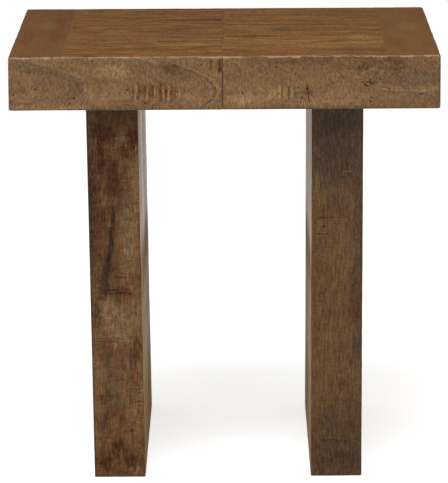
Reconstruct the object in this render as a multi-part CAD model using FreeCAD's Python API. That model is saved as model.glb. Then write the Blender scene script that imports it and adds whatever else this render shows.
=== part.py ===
import FreeCAD
import Part
import math
import os

# End table with a thick, square-edged top on two slab legs, all in solid boards.
#
# Axes: X runs along the wide side, Y from front to back, Z up.
# Origin: on the floor, under the middle of the top.
# The front is the side at -Y. Every length is in millimetres.
#
# The top is a deck of planks inside a border, with aprons folded down from all four edges, so that
# it looks like one thick slab. Each leg is a hollow slab of boards. Its head stands between two
# bearers under the deck and is bolted through them.

# Whole table
top_width = 610.0
top_depth = 508.0
top_thickness = 77.0
table_height = 620.0
edge_rounding = 2.0

# Deck boards and aprons, which share one thickness because they meet in mitres
board_thickness = 22.0
border_width = 75.0
centre_joint_shift = -2.5
field_row_shares = (0.335, 0.345, 0.320)
seam_depth = 0.5

# Tongues that hold the deck's boards together
tongue_thickness = 6.0
tongue_length = 9.0
tongue_end_stop = 32.0
tongue_clearance = 0.15

# Splines across the mitres of the top's edges
spline_thickness = 3.0
spline_width = 12.0
spline_end_stop = 45.0
spline_clearance = 0.1

# Slab legs
leg_thickness = 74.0
leg_end_inset = 107.5
leg_front_inset = 35.0
leg_board_thickness = 20.0
leg_plank_shares = (0.26, 0.29, 0.29, 0.16)
leg_tongue_thickness = 6.0
leg_tongue_length = 8.0
foot_rail_height = 60.0
left_foot_lean = 6.0
right_foot_lean = 2.5

# Loose tenons between the leg rails and the boards at their ends
tenon_thickness = 10.0
tenon_in_board = 12.0
tenon_in_rail = 26.0
tenon_shoulder = 12.0
tenon_clearance = 0.1

# Timbers under the deck
bearer_width = 28.0
under_setback = 8.0
batten_width = 60.0
batten_thickness = 18.0
splice_span_share = 0.63
splice_thickness = 20.0
corner_block_size = 30.0

# Bolts through the leg heads
bolt_diameter = 8.0
bolt_head_flats = 13.0
bolt_head_height = 5.3
bolt_tail = 4.0
bolt_clearance = 0.5
nut_height = 6.5
nut_clearance = 0.1
washer_diameter = 24.0
washer_thickness = 2.0
washer_clearance = 0.2
bolt_end_distance = 55.0

# How far a cutting shape runs past the face that it cuts
overrun = 1.0

# Worked out from the sizes above
half_width = top_width / 2
half_depth = top_depth / 2
deck_underside = table_height - board_thickness
apron_underside = table_height - top_thickness
timber_underside = apron_underside + under_setback
inner_half_width = half_width - board_thickness
inner_half_depth = half_depth - board_thickness
field_half_width = half_width - border_width
field_half_depth = half_depth - border_width
leg_outer = half_width - leg_end_inset
leg_inner = leg_outer - leg_thickness
leg_middle = (leg_outer + leg_inner) / 2
leg_half_depth = half_depth - leg_front_inset
leg_field_half_depth = leg_half_depth - leg_board_thickness
bearer_middle_height = (timber_underside + deck_underside) / 2
splice_inner = inner_half_depth - splice_thickness
splice_length = splice_span_share * 2 * (leg_inner - bearer_width)

ALONG_X = FreeCAD.Vector(1, 0, 0)
ALONG_Y = FreeCAD.Vector(0, 1, 0)
ALONG_Z = FreeCAD.Vector(0, 0, 1)
CENTRE = FreeCAD.Vector(0, 0, 0)

# Sides of the top, each a quarter turn on from the one before
TOP_SIDES = ("front", "end_right", "back", "end_left")


def block(x, y, z):
    """Box between a low and a high value along each axis."""
    size = (x[1] - x[0], y[1] - y[0], z[1] - z[0])
    return Part.makeBox(*size, FreeCAD.Vector(x[0], y[0], z[0]))


def prism(points, travel):
    """Solid swept from a flat outline of straight lines."""
    outline = Part.makePolygon([FreeCAD.Vector(*point) for point in points + [points[0]]])
    return Part.Face(outline).extrude(travel)


def rod(start, direction, length, diameter):
    """Round bar from a start point."""
    return Part.makeCylinder(diameter / 2, length, start, direction)


def cut_all(shape, tools):
    """Shape less those tools that reach it."""
    for tool in tools:
        if tool.BoundBox.intersect(shape.BoundBox):
            shape = shape.cut(tool)
    return shape


def running_sums(shares, start, length):
    """Places where lengths given as shares begin and end."""
    places = [start]
    for share in shares:
        places.append(places[-1] + share * length)
    return places


def middle(pair):
    """Value half way between two."""
    return (pair[0] + pair[1]) / 2


# Deck rows from front to back: front strip, three rows of planks, back strip
FIELD_LINES = running_sums(field_row_shares, -field_half_depth, 2 * field_half_depth)
ROW_LINES = [-half_depth] + FIELD_LINES + [half_depth]
ROW_NAMES = ("border_front", "plank_front", "plank_middle", "plank_back", "border_back")
DECK_ROWS = dict(zip(ROW_NAMES, zip(ROW_LINES[:-1], ROW_LINES[1:])))

# The two columns of deck boards, each from the middle joint to its outer end
COLUMNS = {"left": -1, "right": 1}


# Top

def rounded_top():
    """Outside of the whole top, with its edges eased."""
    whole = block((-half_width, half_width), (-half_depth, half_depth), (apron_underside, table_height))
    return whole.makeFillet(edge_rounding, whole.Edges)


def deck_outline():
    """Outside of the deck alone: a slab whose four edges are cut back in mitres."""
    wide = prism(
        [
            (-inner_half_width, -half_depth, deck_underside),
            (inner_half_width, -half_depth, deck_underside),
            (half_width, -half_depth, table_height),
            (-half_width, -half_depth, table_height),
        ],
        FreeCAD.Vector(0, top_depth, 0),
    )
    deep = prism(
        [
            (-half_width, -inner_half_depth, deck_underside),
            (-half_width, inner_half_depth, deck_underside),
            (-half_width, half_depth, table_height),
            (-half_width, -half_depth, table_height),
        ],
        FreeCAD.Vector(top_width, 0, 0),
    )
    return wide.common(deep)


def seam(start, end, outward):
    """Shallow V along a line between two boards, cut from the face that looks outward."""
    along = (end - start).normalize()
    across = along.cross(outward)
    reach = seam_depth + overrun
    first = start - along * overrun
    points = [
        first - outward * seam_depth,
        first + outward * overrun + across * reach,
        first + outward * overrun - across * reach,
    ]
    return prism(points, end - start + along * 2 * overrun)


def seams():
    """Seams between the rows, the columns and the end borders of the top."""
    joint = centre_joint_shift
    height = table_height
    lines = [((-field_half_width, y, height), (field_half_width, y, height), ALONG_Z) for y in FIELD_LINES]
    for x in (-field_half_width, joint, field_half_width):
        lines.append(((x, -half_depth, height), (x, half_depth, height), ALONG_Z))
    for y, outward in ((-half_depth, -ALONG_Y), (half_depth, ALONG_Y)):
        lines.append(((joint, y, apron_underside), (joint, y, height), outward))
    return [seam(FreeCAD.Vector(*start), FreeCAD.Vector(*end), outward) for start, end, outward in lines]


def side_turn(side):
    """Angle about Z that turns the front of the top to one of its sides."""
    return 90 * TOP_SIDES.index(side)


def side_distance(side):
    """How far a side of the top lies from the middle."""
    return half_width if side.startswith("end") else half_depth


def column_range(column, outer):
    """X from the middle joint to an outer end, low value first."""
    return tuple(sorted((centre_joint_shift, COLUMNS[column] * outer)))


def spline_runs(side):
    """Stretches of a side that hold one spline each, along the side turned to the front."""
    if side.startswith("end"):
        return [(-half_depth + spline_end_stop, half_depth - spline_end_stop)]
    joint = centre_joint_shift if side == "front" else -centre_joint_shift
    gap = spline_end_stop / 2
    return [(-half_width + spline_end_stop, joint - gap), (joint + gap, half_width - spline_end_stop)]


def mitre_splines(grow=0.0):
    """Splines set square across the mitres of the top's four long edges."""
    solids = []
    reach = spline_width / 2 + grow
    half_thick = spline_thickness / 2 + grow
    half_board = board_thickness / 2
    for side in TOP_SIDES:
        for start, end in spline_runs(side):
            solid = block((start - grow, end + grow), (-reach, reach), (-half_thick, half_thick))
            solid.rotate(CENTRE, ALONG_X, 45)
            solid.translate(FreeCAD.Vector(0, half_board - side_distance(side), table_height - half_board))
            solid.rotate(CENTRE, ALONG_Z, side_turn(side))
            solids.append(solid)
    return solids


def tongue_height(grow=0.0):
    """Low and high face of the tongues in the deck."""
    centre = table_height - board_thickness / 2
    return (centre - tongue_thickness / 2 - grow, centre + tongue_thickness / 2 + grow)


def tongue_depth(grow=0.0):
    """How far the end tongues run from front to back."""
    end = half_depth - tongue_end_stop + grow
    return (-end, end)


def loose_tongues(grow=0.0):
    """Loose tongues in the grooves between neighbouring rows of the deck."""
    solids = []
    reach = tongue_length + grow
    for column in COLUMNS:
        low, high = column_range(column, field_half_width)
        run = (low + tongue_end_stop / 2 - grow, high - tongue_end_stop / 2 + grow)
        for line in FIELD_LINES:
            solids.append(block(run, (line - reach, line + reach), tongue_height(grow)))
    return solids


def deck_board(column, row, waste):
    """Plank or border strip with a tongue on its outer end."""
    body = block(column_range(column, field_half_width), row, (deck_underside, table_height))
    sign = COLUMNS[column]
    reach = sorted((sign * (field_half_width - overrun), sign * (field_half_width + tongue_length)))
    across = tongue_depth()
    tongue = block(reach, (max(row[0], across[0]), min(row[1], across[1])), tongue_height())
    return cut_all(body.fuse(tongue).removeSplitter().common(waste["deck"]).common(waste["top"]), waste["cuts"])


def end_border(column, waste):
    """Border strip across one end of the deck, grooved for the tongues of all the rows."""
    sign = COLUMNS[column]
    x = sorted((sign * field_half_width, sign * half_width))
    strip = block(x, (-half_depth, half_depth), (deck_underside, table_height))
    depth = tongue_length + tongue_clearance
    mouth = sorted((sign * (field_half_width - overrun), sign * (field_half_width + depth)))
    groove = block(mouth, tongue_depth(tongue_clearance), tongue_height(tongue_clearance))
    return cut_all(strip.common(waste["deck"]).common(waste["top"]).cut(groove), waste["cuts"])


def apron(side, run, waste):
    """Apron below one edge of the top, from start to end of run, mitred at corners and edge."""
    outer = -side_distance(side)
    inner = outer + board_thickness
    inner_run = [
        place - math.copysign(board_thickness, place) if mitred else place
        for place, mitred in zip(run[:2], run[2])
    ]
    points = [
        (run[0], outer, apron_underside),
        (run[1], outer, apron_underside),
        (inner_run[1], inner, apron_underside),
        (inner_run[0], inner, apron_underside),
    ]
    board = prism(points, FreeCAD.Vector(0, 0, top_thickness))
    board.rotate(CENTRE, ALONG_Z, side_turn(side))
    return cut_all(board.cut(waste["deck"]).common(waste["top"]), waste["cuts"])


def aprons(waste):
    """All six aprons. A run is its start, its end, and which of the two is a mitred corner."""
    joint = centre_joint_shift
    return {
        "apron_front_left": apron("front", (-half_width, joint, (True, False)), waste),
        "apron_front_right": apron("front", (joint, half_width, (False, True)), waste),
        "apron_back_left": apron("back", (-joint, half_width, (False, True)), waste),
        "apron_back_right": apron("back", (-half_width, -joint, (True, False)), waste),
        "apron_end_left": apron("end_left", (-half_depth, half_depth, (True, True)), waste),
        "apron_end_right": apron("end_right", (-half_depth, half_depth, (True, True)), waste),
    }


def top_boards():
    """Deck and aprons, with the grooves and holes for all that holds them together."""
    waste = {"top": rounded_top(), "deck": deck_outline()}
    waste["cuts"] = mitre_splines(spline_clearance) + loose_tongues(tongue_clearance) + seams()
    boards = {}
    for column in COLUMNS:
        for name, row in DECK_ROWS.items():
            boards[name + "_" + column] = deck_board(column, row, waste)
        boards["border_end_" + column] = end_border(column, waste)
    boards.update(aprons(waste))
    return boards


# Timbers under the deck

def bearers():
    """Bearers on both sides of each leg head, with holes for its bolts."""
    spans = {"inner": (leg_inner - bearer_width, leg_inner), "outer": (leg_outer, leg_outer + bearer_width)}
    timbers = {}
    for column, sign in COLUMNS.items():
        for place, span in spans.items():
            x = sorted((sign * span[0], sign * span[1]))
            timber = block(x, (-inner_half_depth, inner_half_depth), (timber_underside, deck_underside))
            timbers["bearer_" + column + "_" + place] = cut_all(timber, bolt_holes())
    return timbers


def centre_batten():
    """Batten under the middle joint, between the two splice blocks."""
    x = (centre_joint_shift - batten_width / 2, centre_joint_shift + batten_width / 2)
    return block(x, (-splice_inner, splice_inner), (deck_underside - batten_thickness, deck_underside))


def splice_block(facing):
    """Block behind the joint in the front or back aprons."""
    x = (centre_joint_shift - splice_length / 2, centre_joint_shift + splice_length / 2)
    y = sorted((facing * splice_inner, facing * inner_half_depth))
    return block(x, y, (timber_underside, deck_underside))


def corner_blocks():
    """Upright blocks inside the four corners of the aprons."""
    solids = []
    for sign_x in (-1, 1):
        for sign_y in (-1, 1):
            x = sorted((sign_x * inner_half_width, sign_x * (inner_half_width - corner_block_size)))
            y = sorted((sign_y * inner_half_depth, sign_y * (inner_half_depth - corner_block_size)))
            solids.append(block(x, y, (timber_underside, deck_underside)))
    return solids


# Slab legs

def foot_shift(column, z):
    """How far a leg has moved towards the middle at one height, below the top."""
    lean = {"left": left_foot_lean, "right": right_foot_lean}[column]
    return -COLUMNS[column] * lean * max(0.0, 1 - z / apron_underside)


def section(x, y, rounded_end=0):
    """Flat rectangle at the floor, with two eased corners at its front (-1) or back (1) end."""
    corners = [(x[0], y[0]), (x[1], y[0]), (x[1], y[1]), (x[0], y[1])]
    signs = [(1, 1), (-1, 1), (-1, -1), (1, -1)]
    points = []
    for (corner_x, corner_y), (sign_x, sign_y) in zip(corners, signs):
        radius = edge_rounding if sign_y == -rounded_end else 0
        along_x = FreeCAD.Vector(corner_x + sign_x * radius, corner_y, 0)
        along_y = FreeCAD.Vector(corner_x, corner_y + sign_y * radius, 0)
        inset = radius * (1 - math.sqrt(0.5))
        crown = FreeCAD.Vector(corner_x + sign_x * inset, corner_y + sign_y * inset, 0)
        first, last = (along_y, along_x) if sign_x == sign_y else (along_x, along_y)
        points.append((first, crown, last, radius))
    edges = []
    for here, after in zip(points, points[1:] + points[:1]):
        if here[3]:
            edges.append(Part.Arc(here[0], here[1], here[2]).toShape())
        edges.append(Part.LineSegment(here[2], after[0]).toShape())
    return Part.Face(Part.Wire(edges))


def leg_stick(column, x, y, z, rounded_end=0):
    """Upright board of a leg. Below the top it leans with the leg, and inside the top it is plumb."""
    low, high = z
    knee = min(high, apron_underside)
    flat = section(x, y, rounded_end)
    pieces = []
    if low < knee:
        start = FreeCAD.Vector(foot_shift(column, low), 0, low)
        travel = FreeCAD.Vector(foot_shift(column, knee) - foot_shift(column, low), 0, knee - low)
        pieces.append(placed(flat, start).extrude(travel))
    if high > knee:
        start = FreeCAD.Vector(0, 0, max(low, knee))
        pieces.append(placed(flat, start).extrude(FreeCAD.Vector(0, 0, high - start.z)))
    stick = pieces[0]
    for piece in pieces[1:]:
        stick = stick.fuse(piece)
    return stick


def placed(flat, start):
    """Copy of a flat outline moved from the floor to its start."""
    copy = flat.copy()
    copy.translate(start)
    return copy


def leg_face_range(column, face, low=0.0, high=leg_board_thickness):
    """X range between two depths behind the inner or outer face of a leg."""
    sign = COLUMNS[column]
    if face == "outer":
        return tuple(sorted((sign * (leg_outer - low), sign * (leg_outer - high))))
    return tuple(sorted((sign * (leg_inner + low), sign * (leg_inner + high))))


def leg_tongue_range(column, face, grow=0.0):
    """X range of the tongues that join a face's planks to the boards at the leg's ends."""
    low = (leg_board_thickness - leg_tongue_thickness) / 2
    return leg_face_range(column, face, low - grow, low + leg_tongue_thickness + grow)


def leg_end_board(column, facing):
    """Front (-1) or back (1) board, as wide as the slab, grooved behind for the planks."""
    x = sorted((COLUMNS[column] * leg_inner, COLUMNS[column] * leg_outer))
    y = sorted((facing * leg_field_half_depth, facing * leg_half_depth))
    board = leg_stick(column, x, y, (0, deck_underside), rounded_end=facing)
    inside = facing * (leg_field_half_depth - overrun)
    bottom = facing * (leg_field_half_depth + leg_tongue_length + tongue_clearance)
    for face in ("inner", "outer"):
        groove = leg_stick(
            column,
            leg_tongue_range(column, face, tongue_clearance),
            sorted((inside, bottom)),
            (-overrun, deck_underside + overrun),
        )
        board = board.cut(groove)
    return cut_all(board, loose_tenons(tenon_clearance))


def leg_planks(column, face):
    """Upright planks of one face, the outermost two tongued into the end boards."""
    lines = running_sums(leg_plank_shares, -leg_field_half_depth, 2 * leg_field_half_depth)
    planks = []
    for low, high in zip(lines[:-1], lines[1:]):
        plank = leg_stick(column, leg_face_range(column, face), (low, high), (0, deck_underside))
        if low == lines[0]:
            plank = plank.fuse(leg_tongue(column, face, (low - leg_tongue_length, low + overrun)))
        if high == lines[-1]:
            plank = plank.fuse(leg_tongue(column, face, (high - overrun, high + leg_tongue_length)))
        planks.append(cut_all(plank.removeSplitter(), bolt_holes()))
    return planks


def leg_tongue(column, face, y):
    """Tongue along the whole height of a plank."""
    return leg_stick(column, leg_tongue_range(column, face), y, (0, deck_underside))


def leg_rail(column, z):
    """Solid rail between the two faces of a leg."""
    low, high = leg_board_thickness, leg_thickness - leg_board_thickness
    x = leg_face_range(column, "inner", low, high)
    rail = leg_stick(column, x, (-leg_field_half_depth, leg_field_half_depth), z)
    return cut_all(rail, bolt_holes() + loose_tenons(tenon_clearance))


def leg_boards(column):
    """All the boards of one leg."""
    boards = {
        "front_board": leg_end_board(column, -1),
        "back_board": leg_end_board(column, 1),
        "head_rail": leg_rail(column, (apron_underside, deck_underside)),
        "foot_rail": leg_rail(column, (0, foot_rail_height)),
    }
    for face in ("inner", "outer"):
        for number, plank in enumerate(leg_planks(column, face), start=1):
            boards[face + "_plank_" + str(number)] = plank
    return {"leg_" + column + "_" + name: shape for name, shape in boards.items()}


def loose_tenons(grow=0.0):
    """Flat tenon at each end of each leg rail, half in the rail and half in the board."""
    solids = []
    half_thick = tenon_thickness / 2 + grow
    for column, sign in COLUMNS.items():
        for base, top in ((0, foot_rail_height), (apron_underside, deck_underside)):
            x = sign * leg_middle + foot_shift(column, middle((base, top)))
            z = (base + tenon_shoulder - grow, top - tenon_shoulder + grow)
            for facing in (-1, 1):
                inside = facing * (leg_field_half_depth - tenon_in_rail - grow)
                outside = facing * (leg_field_half_depth + tenon_in_board + grow)
                solids.append(block((x - half_thick, x + half_thick), sorted((inside, outside)), z))
    return solids


# Bolts through the leg heads

def across_head(make):
    """Solids made along +X for the two bolts of the right leg, and turned about for the left leg."""
    solids = []
    for turn in (0, 180):
        for facing in (-1, 1):
            for solid in make():
                y = facing * (leg_half_depth - bolt_end_distance)
                solid.translate(FreeCAD.Vector(0, y, bearer_middle_height))
                solid.rotate(CENTRE, ALONG_Z, turn)
                solids.append(solid)
    return solids


def hexagon(x, flats, height):
    """Six-sided head or nut that starts at one place along X."""
    radius = flats / 2 / math.cos(math.radians(30))
    angles = [math.radians(60 * corner) for corner in range(6)]
    points = [(x, radius * math.cos(angle), radius * math.sin(angle)) for angle in angles]
    return prism(points, FreeCAD.Vector(height, 0, 0))


def bolt_span():
    """X where the inner and outer bearers' far faces lie."""
    return leg_inner - bearer_width, leg_outer + bearer_width


def bolt():
    """Hexagon bolt with its head beyond the outer bearer."""
    low, high = bolt_span()
    start = low - washer_thickness - nut_height - bolt_tail
    under_head = high + washer_thickness
    shank = rod(FreeCAD.Vector(start, 0, 0), ALONG_X, under_head - start, bolt_diameter)
    return [shank.fuse(hexagon(under_head, bolt_head_flats, bolt_head_height))]


def bolt_holes():
    """Clearance holes through everything that a bolt clamps."""
    low, high = bolt_span()
    start = FreeCAD.Vector(low - overrun, 0, 0)
    length = high - low + 2 * overrun
    return across_head(lambda: [rod(start, ALONG_X, length, bolt_diameter + 2 * bolt_clearance)])


def washers():
    """Washers under a bolt's head and its nut."""
    low, high = bolt_span()
    rings = []
    for x in (low - washer_thickness, high):
        start = FreeCAD.Vector(x, 0, 0)
        ring = rod(start, ALONG_X, washer_thickness, washer_diameter)
        rings.append(ring.cut(rod(start, ALONG_X, washer_thickness, bolt_diameter + 2 * washer_clearance)))
    return rings


def nut():
    """Nut against the inner washer."""
    start = bolt_span()[0] - washer_thickness - nut_height
    body = hexagon(start, bolt_head_flats, nut_height)
    bore = rod(FreeCAD.Vector(start, 0, 0), ALONG_X, nut_height, bolt_diameter + 2 * nut_clearance)
    return [body.cut(bore)]


def write_steps(nodes):
    """One file for each node."""
    os.makedirs("parts", exist_ok=True)
    for name, shape in nodes.items():
        solids = shape if isinstance(shape, list) else [shape]
        whole = solids[0] if len(solids) == 1 else Part.makeCompound(solids)
        whole.exportStep("parts/" + name + ".step")
        print(name, len(whole.Solids), round(whole.Volume), whole.isValid())


def build():
    """Every node of the table by its name."""
    nodes = top_boards()
    nodes.update(bearers())
    nodes["centre_batten"] = centre_batten()
    nodes["splice_block_front"] = splice_block(-1)
    nodes["splice_block_back"] = splice_block(1)
    nodes["corner_blocks"] = corner_blocks()
    for column in COLUMNS:
        nodes.update(leg_boards(column))
    nodes["loose_tongues"] = loose_tongues()
    nodes["mitre_splines"] = mitre_splines()
    nodes["leg_tenons"] = loose_tenons()
    nodes["leg_bolts"] = across_head(bolt)
    nodes["leg_washers"] = across_head(washers)
    nodes["leg_nuts"] = across_head(nut)
    return nodes


write_steps(build())
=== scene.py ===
import itertools
import logging
import math
from dataclasses import dataclass, field, replace
from enum import Enum
from typing import Callable, ClassVar, NamedTuple

import bpy
import numpy as np
from mathutils import Matrix, Vector


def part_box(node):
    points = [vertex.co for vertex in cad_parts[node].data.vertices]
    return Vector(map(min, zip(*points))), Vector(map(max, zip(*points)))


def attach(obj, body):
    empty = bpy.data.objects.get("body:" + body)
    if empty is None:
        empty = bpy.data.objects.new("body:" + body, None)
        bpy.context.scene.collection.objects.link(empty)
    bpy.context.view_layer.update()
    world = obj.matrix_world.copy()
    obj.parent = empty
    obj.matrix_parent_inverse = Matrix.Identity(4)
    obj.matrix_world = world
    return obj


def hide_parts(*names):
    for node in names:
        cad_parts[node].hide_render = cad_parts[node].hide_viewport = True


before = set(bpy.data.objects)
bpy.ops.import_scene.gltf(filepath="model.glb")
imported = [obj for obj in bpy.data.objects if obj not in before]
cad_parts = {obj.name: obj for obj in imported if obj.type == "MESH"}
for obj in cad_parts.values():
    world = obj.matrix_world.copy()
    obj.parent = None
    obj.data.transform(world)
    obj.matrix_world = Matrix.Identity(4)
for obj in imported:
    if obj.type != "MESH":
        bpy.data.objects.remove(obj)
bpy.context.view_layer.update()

# End table with a thick plank top on two slab legs, in stained and distressed solid wood.
# Sizes are in millimetres and are turned to metres where a mesh, lamp or camera is made.
# The front is the side at -Y, Z is up, and the floor is at zero.

MM = 0.001
ROOT_BODY = "root"
WHITE = (1.0, 1.0, 1.0, 1.0)
LOG = logging.getLogger("end_table")
Socket = bpy.types.NodeSocket
Triple = tuple[float, float, float]

# Odd numbers and bit masks that scramble a seed and a grid cell into noise
SEED_STEP, SEED_START = 69069, 12345
CELL_STEP, CELL_MIX, LAST_MIX = 374761393, 668265263, 2246822519
LONG_BITS, SHORT_BITS = 0xFFFFFFFF, 0xFFFFFF

# Roughness of the shaders' noise, and its shift from one number to the next
NOISE_ROUGHNESS, NOISE_SHIFT = 0.55, (17.3, 29.1, 41.7)


class Axis(Enum):
    """The three directions of the table's frame."""

    X = 0
    Y = 1
    Z = 2


class Stain(Enum):
    """Tints painted over the wood's ground colour, one for each painted channel: mostly the stain of the
    wood, and in a few marks painted shade, shadow, sheen and reflection.
    """

    DARK = 0
    RED = 1
    PALE = 2
    GREY = 3


DARK, RED, PALE, GREY = Stain


class Slot(Enum):
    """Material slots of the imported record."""

    TOP_WOOD = "top_wood"
    LEG_WOOD = "leg_wood"
    ZINC_STEEL = "zinc_steel"


class Face(NamedTuple):
    """One side of a board: the axis that it faces along, and which way."""

    axis: Axis
    side: int


FRONT, BACK = Face(Axis.Y, -1), Face(Axis.Y, 1)
LEFT, RIGHT = Face(Axis.X, -1), Face(Axis.X, 1)
BOTTOM, TOP = Face(Axis.Z, -1), Face(Axis.Z, 1)


def linear(colour: str) -> tuple[float, float, float, float]:
    """Turns an sRGB hex colour to the linear values that shaders take.

    Args:
        colour: six hex digits.

    Returns:
        Red, green, blue and an alpha of one.
    """
    parts = [int(colour[i:i + 2], 16) / 255 for i in (0, 2, 4)]
    return tuple(c / 12.92 if c <= 0.04045 else ((c + 0.055) / 1.055) ** 2.4 for c in parts) + (1.0,)


def smooth(share: np.ndarray) -> np.ndarray:
    """Eases a share that runs from nought to one, and holds it there outside that range."""
    held = np.clip(share, 0.0, 1.0)
    return held * held * (3.0 - 2.0 * held)


def soft_noise(points: np.ndarray, periods: tuple[float, ...], seed: int) -> np.ndarray:
    """Smooth noise from nought to one that gives the same values on every run.

    Args:
        points: places in mm, one row each.
        periods: size of a feature along each axis, in mm.
        seed: whole number that picks one pattern.

    Returns:
        One value for each row.
    """
    places = points[:, :len(periods)] / np.array(periods)
    cells = np.floor(places).astype(np.int64)
    shares = smooth(places - cells)
    total = np.zeros(len(points))
    for corner in itertools.product((0, 1), repeat=len(periods)):
        weight = np.ones(len(points))
        mixed = np.full(len(points), seed * SEED_STEP + SEED_START, dtype=np.int64)
        for axis, step in enumerate(corner):
            weight *= shares[:, axis] if step else 1.0 - shares[:, axis]
            mixed = (mixed ^ (cells[:, axis] + step) * CELL_STEP) * CELL_MIX & LONG_BITS
            mixed ^= mixed >> 15
        total += weight * (mixed * LAST_MIX & SHORT_BITS) / SHORT_BITS
    return total


def one_noise(place: float, seed: int) -> float:
    """One even value from nought to one for a board."""
    return soft_noise(np.full((1, 1), place), (1.0,), seed)[0]


def node_box(node: str) -> tuple[np.ndarray, np.ndarray]:
    """Lowest and highest corner of a CAD node, in mm."""
    low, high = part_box(node)
    return np.array(low) / MM, np.array(high) / MM


def placed(name: str, data: bpy.types.ID) -> bpy.types.Object:
    """New object in the scene."""
    made = bpy.data.objects.new(name, data)
    bpy.context.scene.collection.objects.link(made)
    return made


@dataclass(frozen=True)
class Nodes:
    """Node tree, with short ways to add the nodes that its users share.

    Args:
        tree: tree that gets the nodes.
    """

    tree: bpy.types.NodeTree

    def add(self, kind: str, inputs: dict | None = None, **settings: object) -> bpy.types.Node:
        """Adds one node.

        Args:
            kind: the node's class name.
            inputs: values or output sockets, by input name or number.
            **settings: the node's own properties.

        Returns:
            The new node.
        """
        node = self.tree.nodes.new(kind)
        for name, value in settings.items():
            setattr(node, name, value)
        for name, value in (inputs or {}).items():
            if isinstance(value, Socket):
                self.tree.links.new(value, node.inputs[name])
            else:
                node.inputs[name].default_value = value
        return node

    def math(self, operation: str, *values: object, clamp: bool = False) -> Socket:
        """Result of one sum on numbers."""
        inputs = dict(enumerate(values))
        return self.add("ShaderNodeMath", inputs, operation=operation, use_clamp=clamp).outputs[0]

    def vector(self, operation: str, *values: object) -> Socket:
        """Result of one sum on vectors."""
        return self.add("ShaderNodeVectorMath", dict(enumerate(values)), operation=operation).outputs[0]

    def joined(self, **parts: object) -> Socket:
        """Vector of the given parts X, Y and Z."""
        return self.add("ShaderNodeCombineXYZ", parts).outputs[0]

    def attribute(self, name: str, output: str = "Fac") -> Socket:
        """Attribute that is painted on the mesh."""
        return self.add("ShaderNodeAttribute", attribute_name=name).outputs[output]

    def ranged(self, value: Socket, source: tuple[float, float] = (0.0, 1.0),
               target: tuple[float, float] = (0.0, 1.0), kind: str = "LINEAR") -> Socket:
        """Value moved from one range to another, and held at its ends."""
        return self.add("ShaderNodeMapRange", {
            "Value": value, "From Min": source[0], "From Max": source[1],
            "To Min": target[0], "To Max": target[1],
        }, interpolation_type=kind).outputs[0]

    def noise(self, place: Socket, detail: float, roughness: float = 0.5,
              scale: float = 1.0) -> bpy.types.Node:
        """Noise texture at a place."""
        return self.add("ShaderNodeTexNoise", {
            "Vector": place, "Scale": scale, "Detail": detail, "Roughness": roughness,
        })

    def grain_noise(self, grain: Socket, periods: tuple[float, float], detail: float,
                    number: int = 0) -> Socket:
        """Noise with features of a size along and across the fibres, and another one for each number."""
        along, across = periods
        scale = (1.0 / along, 1.0 / across, 1.0 / across)
        shift = tuple(step * number for step in NOISE_SHIFT)
        place = self.vector("MULTIPLY_ADD", grain, scale, shift)
        return self.noise(place, detail, NOISE_ROUGHNESS).outputs[0]

    def window(self, value: Socket, limits: tuple[float, float]) -> Socket:
        """Share from nought to one between two limits of a value."""
        return self.ranged(value, limits, kind="SMOOTHSTEP")

    def blend(self, share: Socket, under: object, over: object) -> Socket:
        """Colour between two others."""
        return self.add("ShaderNodeMix", {0: share, 6: under, 7: over}, data_type="RGBA").outputs[2]

    def tint(self, colour: object, share: Socket, strength: float, tint: str) -> Socket:
        """Colour with a share of a tint over it."""
        return self.blend(self.math("MULTIPLY", share, strength, clamp=True), colour, linear(tint))

    def surface(self, inputs: dict) -> None:
        """Main shader with these inputs, led to the material's output."""
        shader = self.add("ShaderNodeBsdfPrincipled", inputs)
        self.add("ShaderNodeOutputMaterial", {"Surface": shader.outputs[0]})


def new_material(name: str) -> tuple[bpy.types.Material, Nodes]:
    """Makes an empty node material and returns it with its nodes."""
    material = bpy.data.materials.new(name)
    material.use_nodes = True
    material.node_tree.nodes.clear()
    return material, Nodes(material.node_tree)


# Marks in the wood, and a few of painted shade, shadow, sheen and reflection. Each one gives how much of its
# tint covers a place on a face.

# Cover at the middle of a streak, patch, arch and hole before it is held at one, which sets how
# broad the even part in the middle is
STREAK_CORE, PATCH_CORE, ARCH_CORE, HOLE_CORE = 1.25, 1.5, 1.6, 1.6

# Width of the tint round a pit and beside a crack, as a share of the mark's own width
PIT_HALO, CHECK_HALO = 1.5, 1.4

# Half width at the far end of a crack or an upright streak, as a share of the near end's
TAPER = 0.7

# Height in mm over which an arch's reach changes from one branch to the other, and the width in mm
# over which its cloud spills past the line
BRANCH_BLEND, CLOUD_SPILL = 12.0, 1.2

# Steps that vary the length and the cover from one upright streak to the next, the share of the
# length that varies, and the fade of their ends
LENGTH_STEP, COVER_STEP, LENGTH_SPREAD, UPRIGHT_FADE = 0.618, 0.382, 0.3, 0.3


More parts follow.
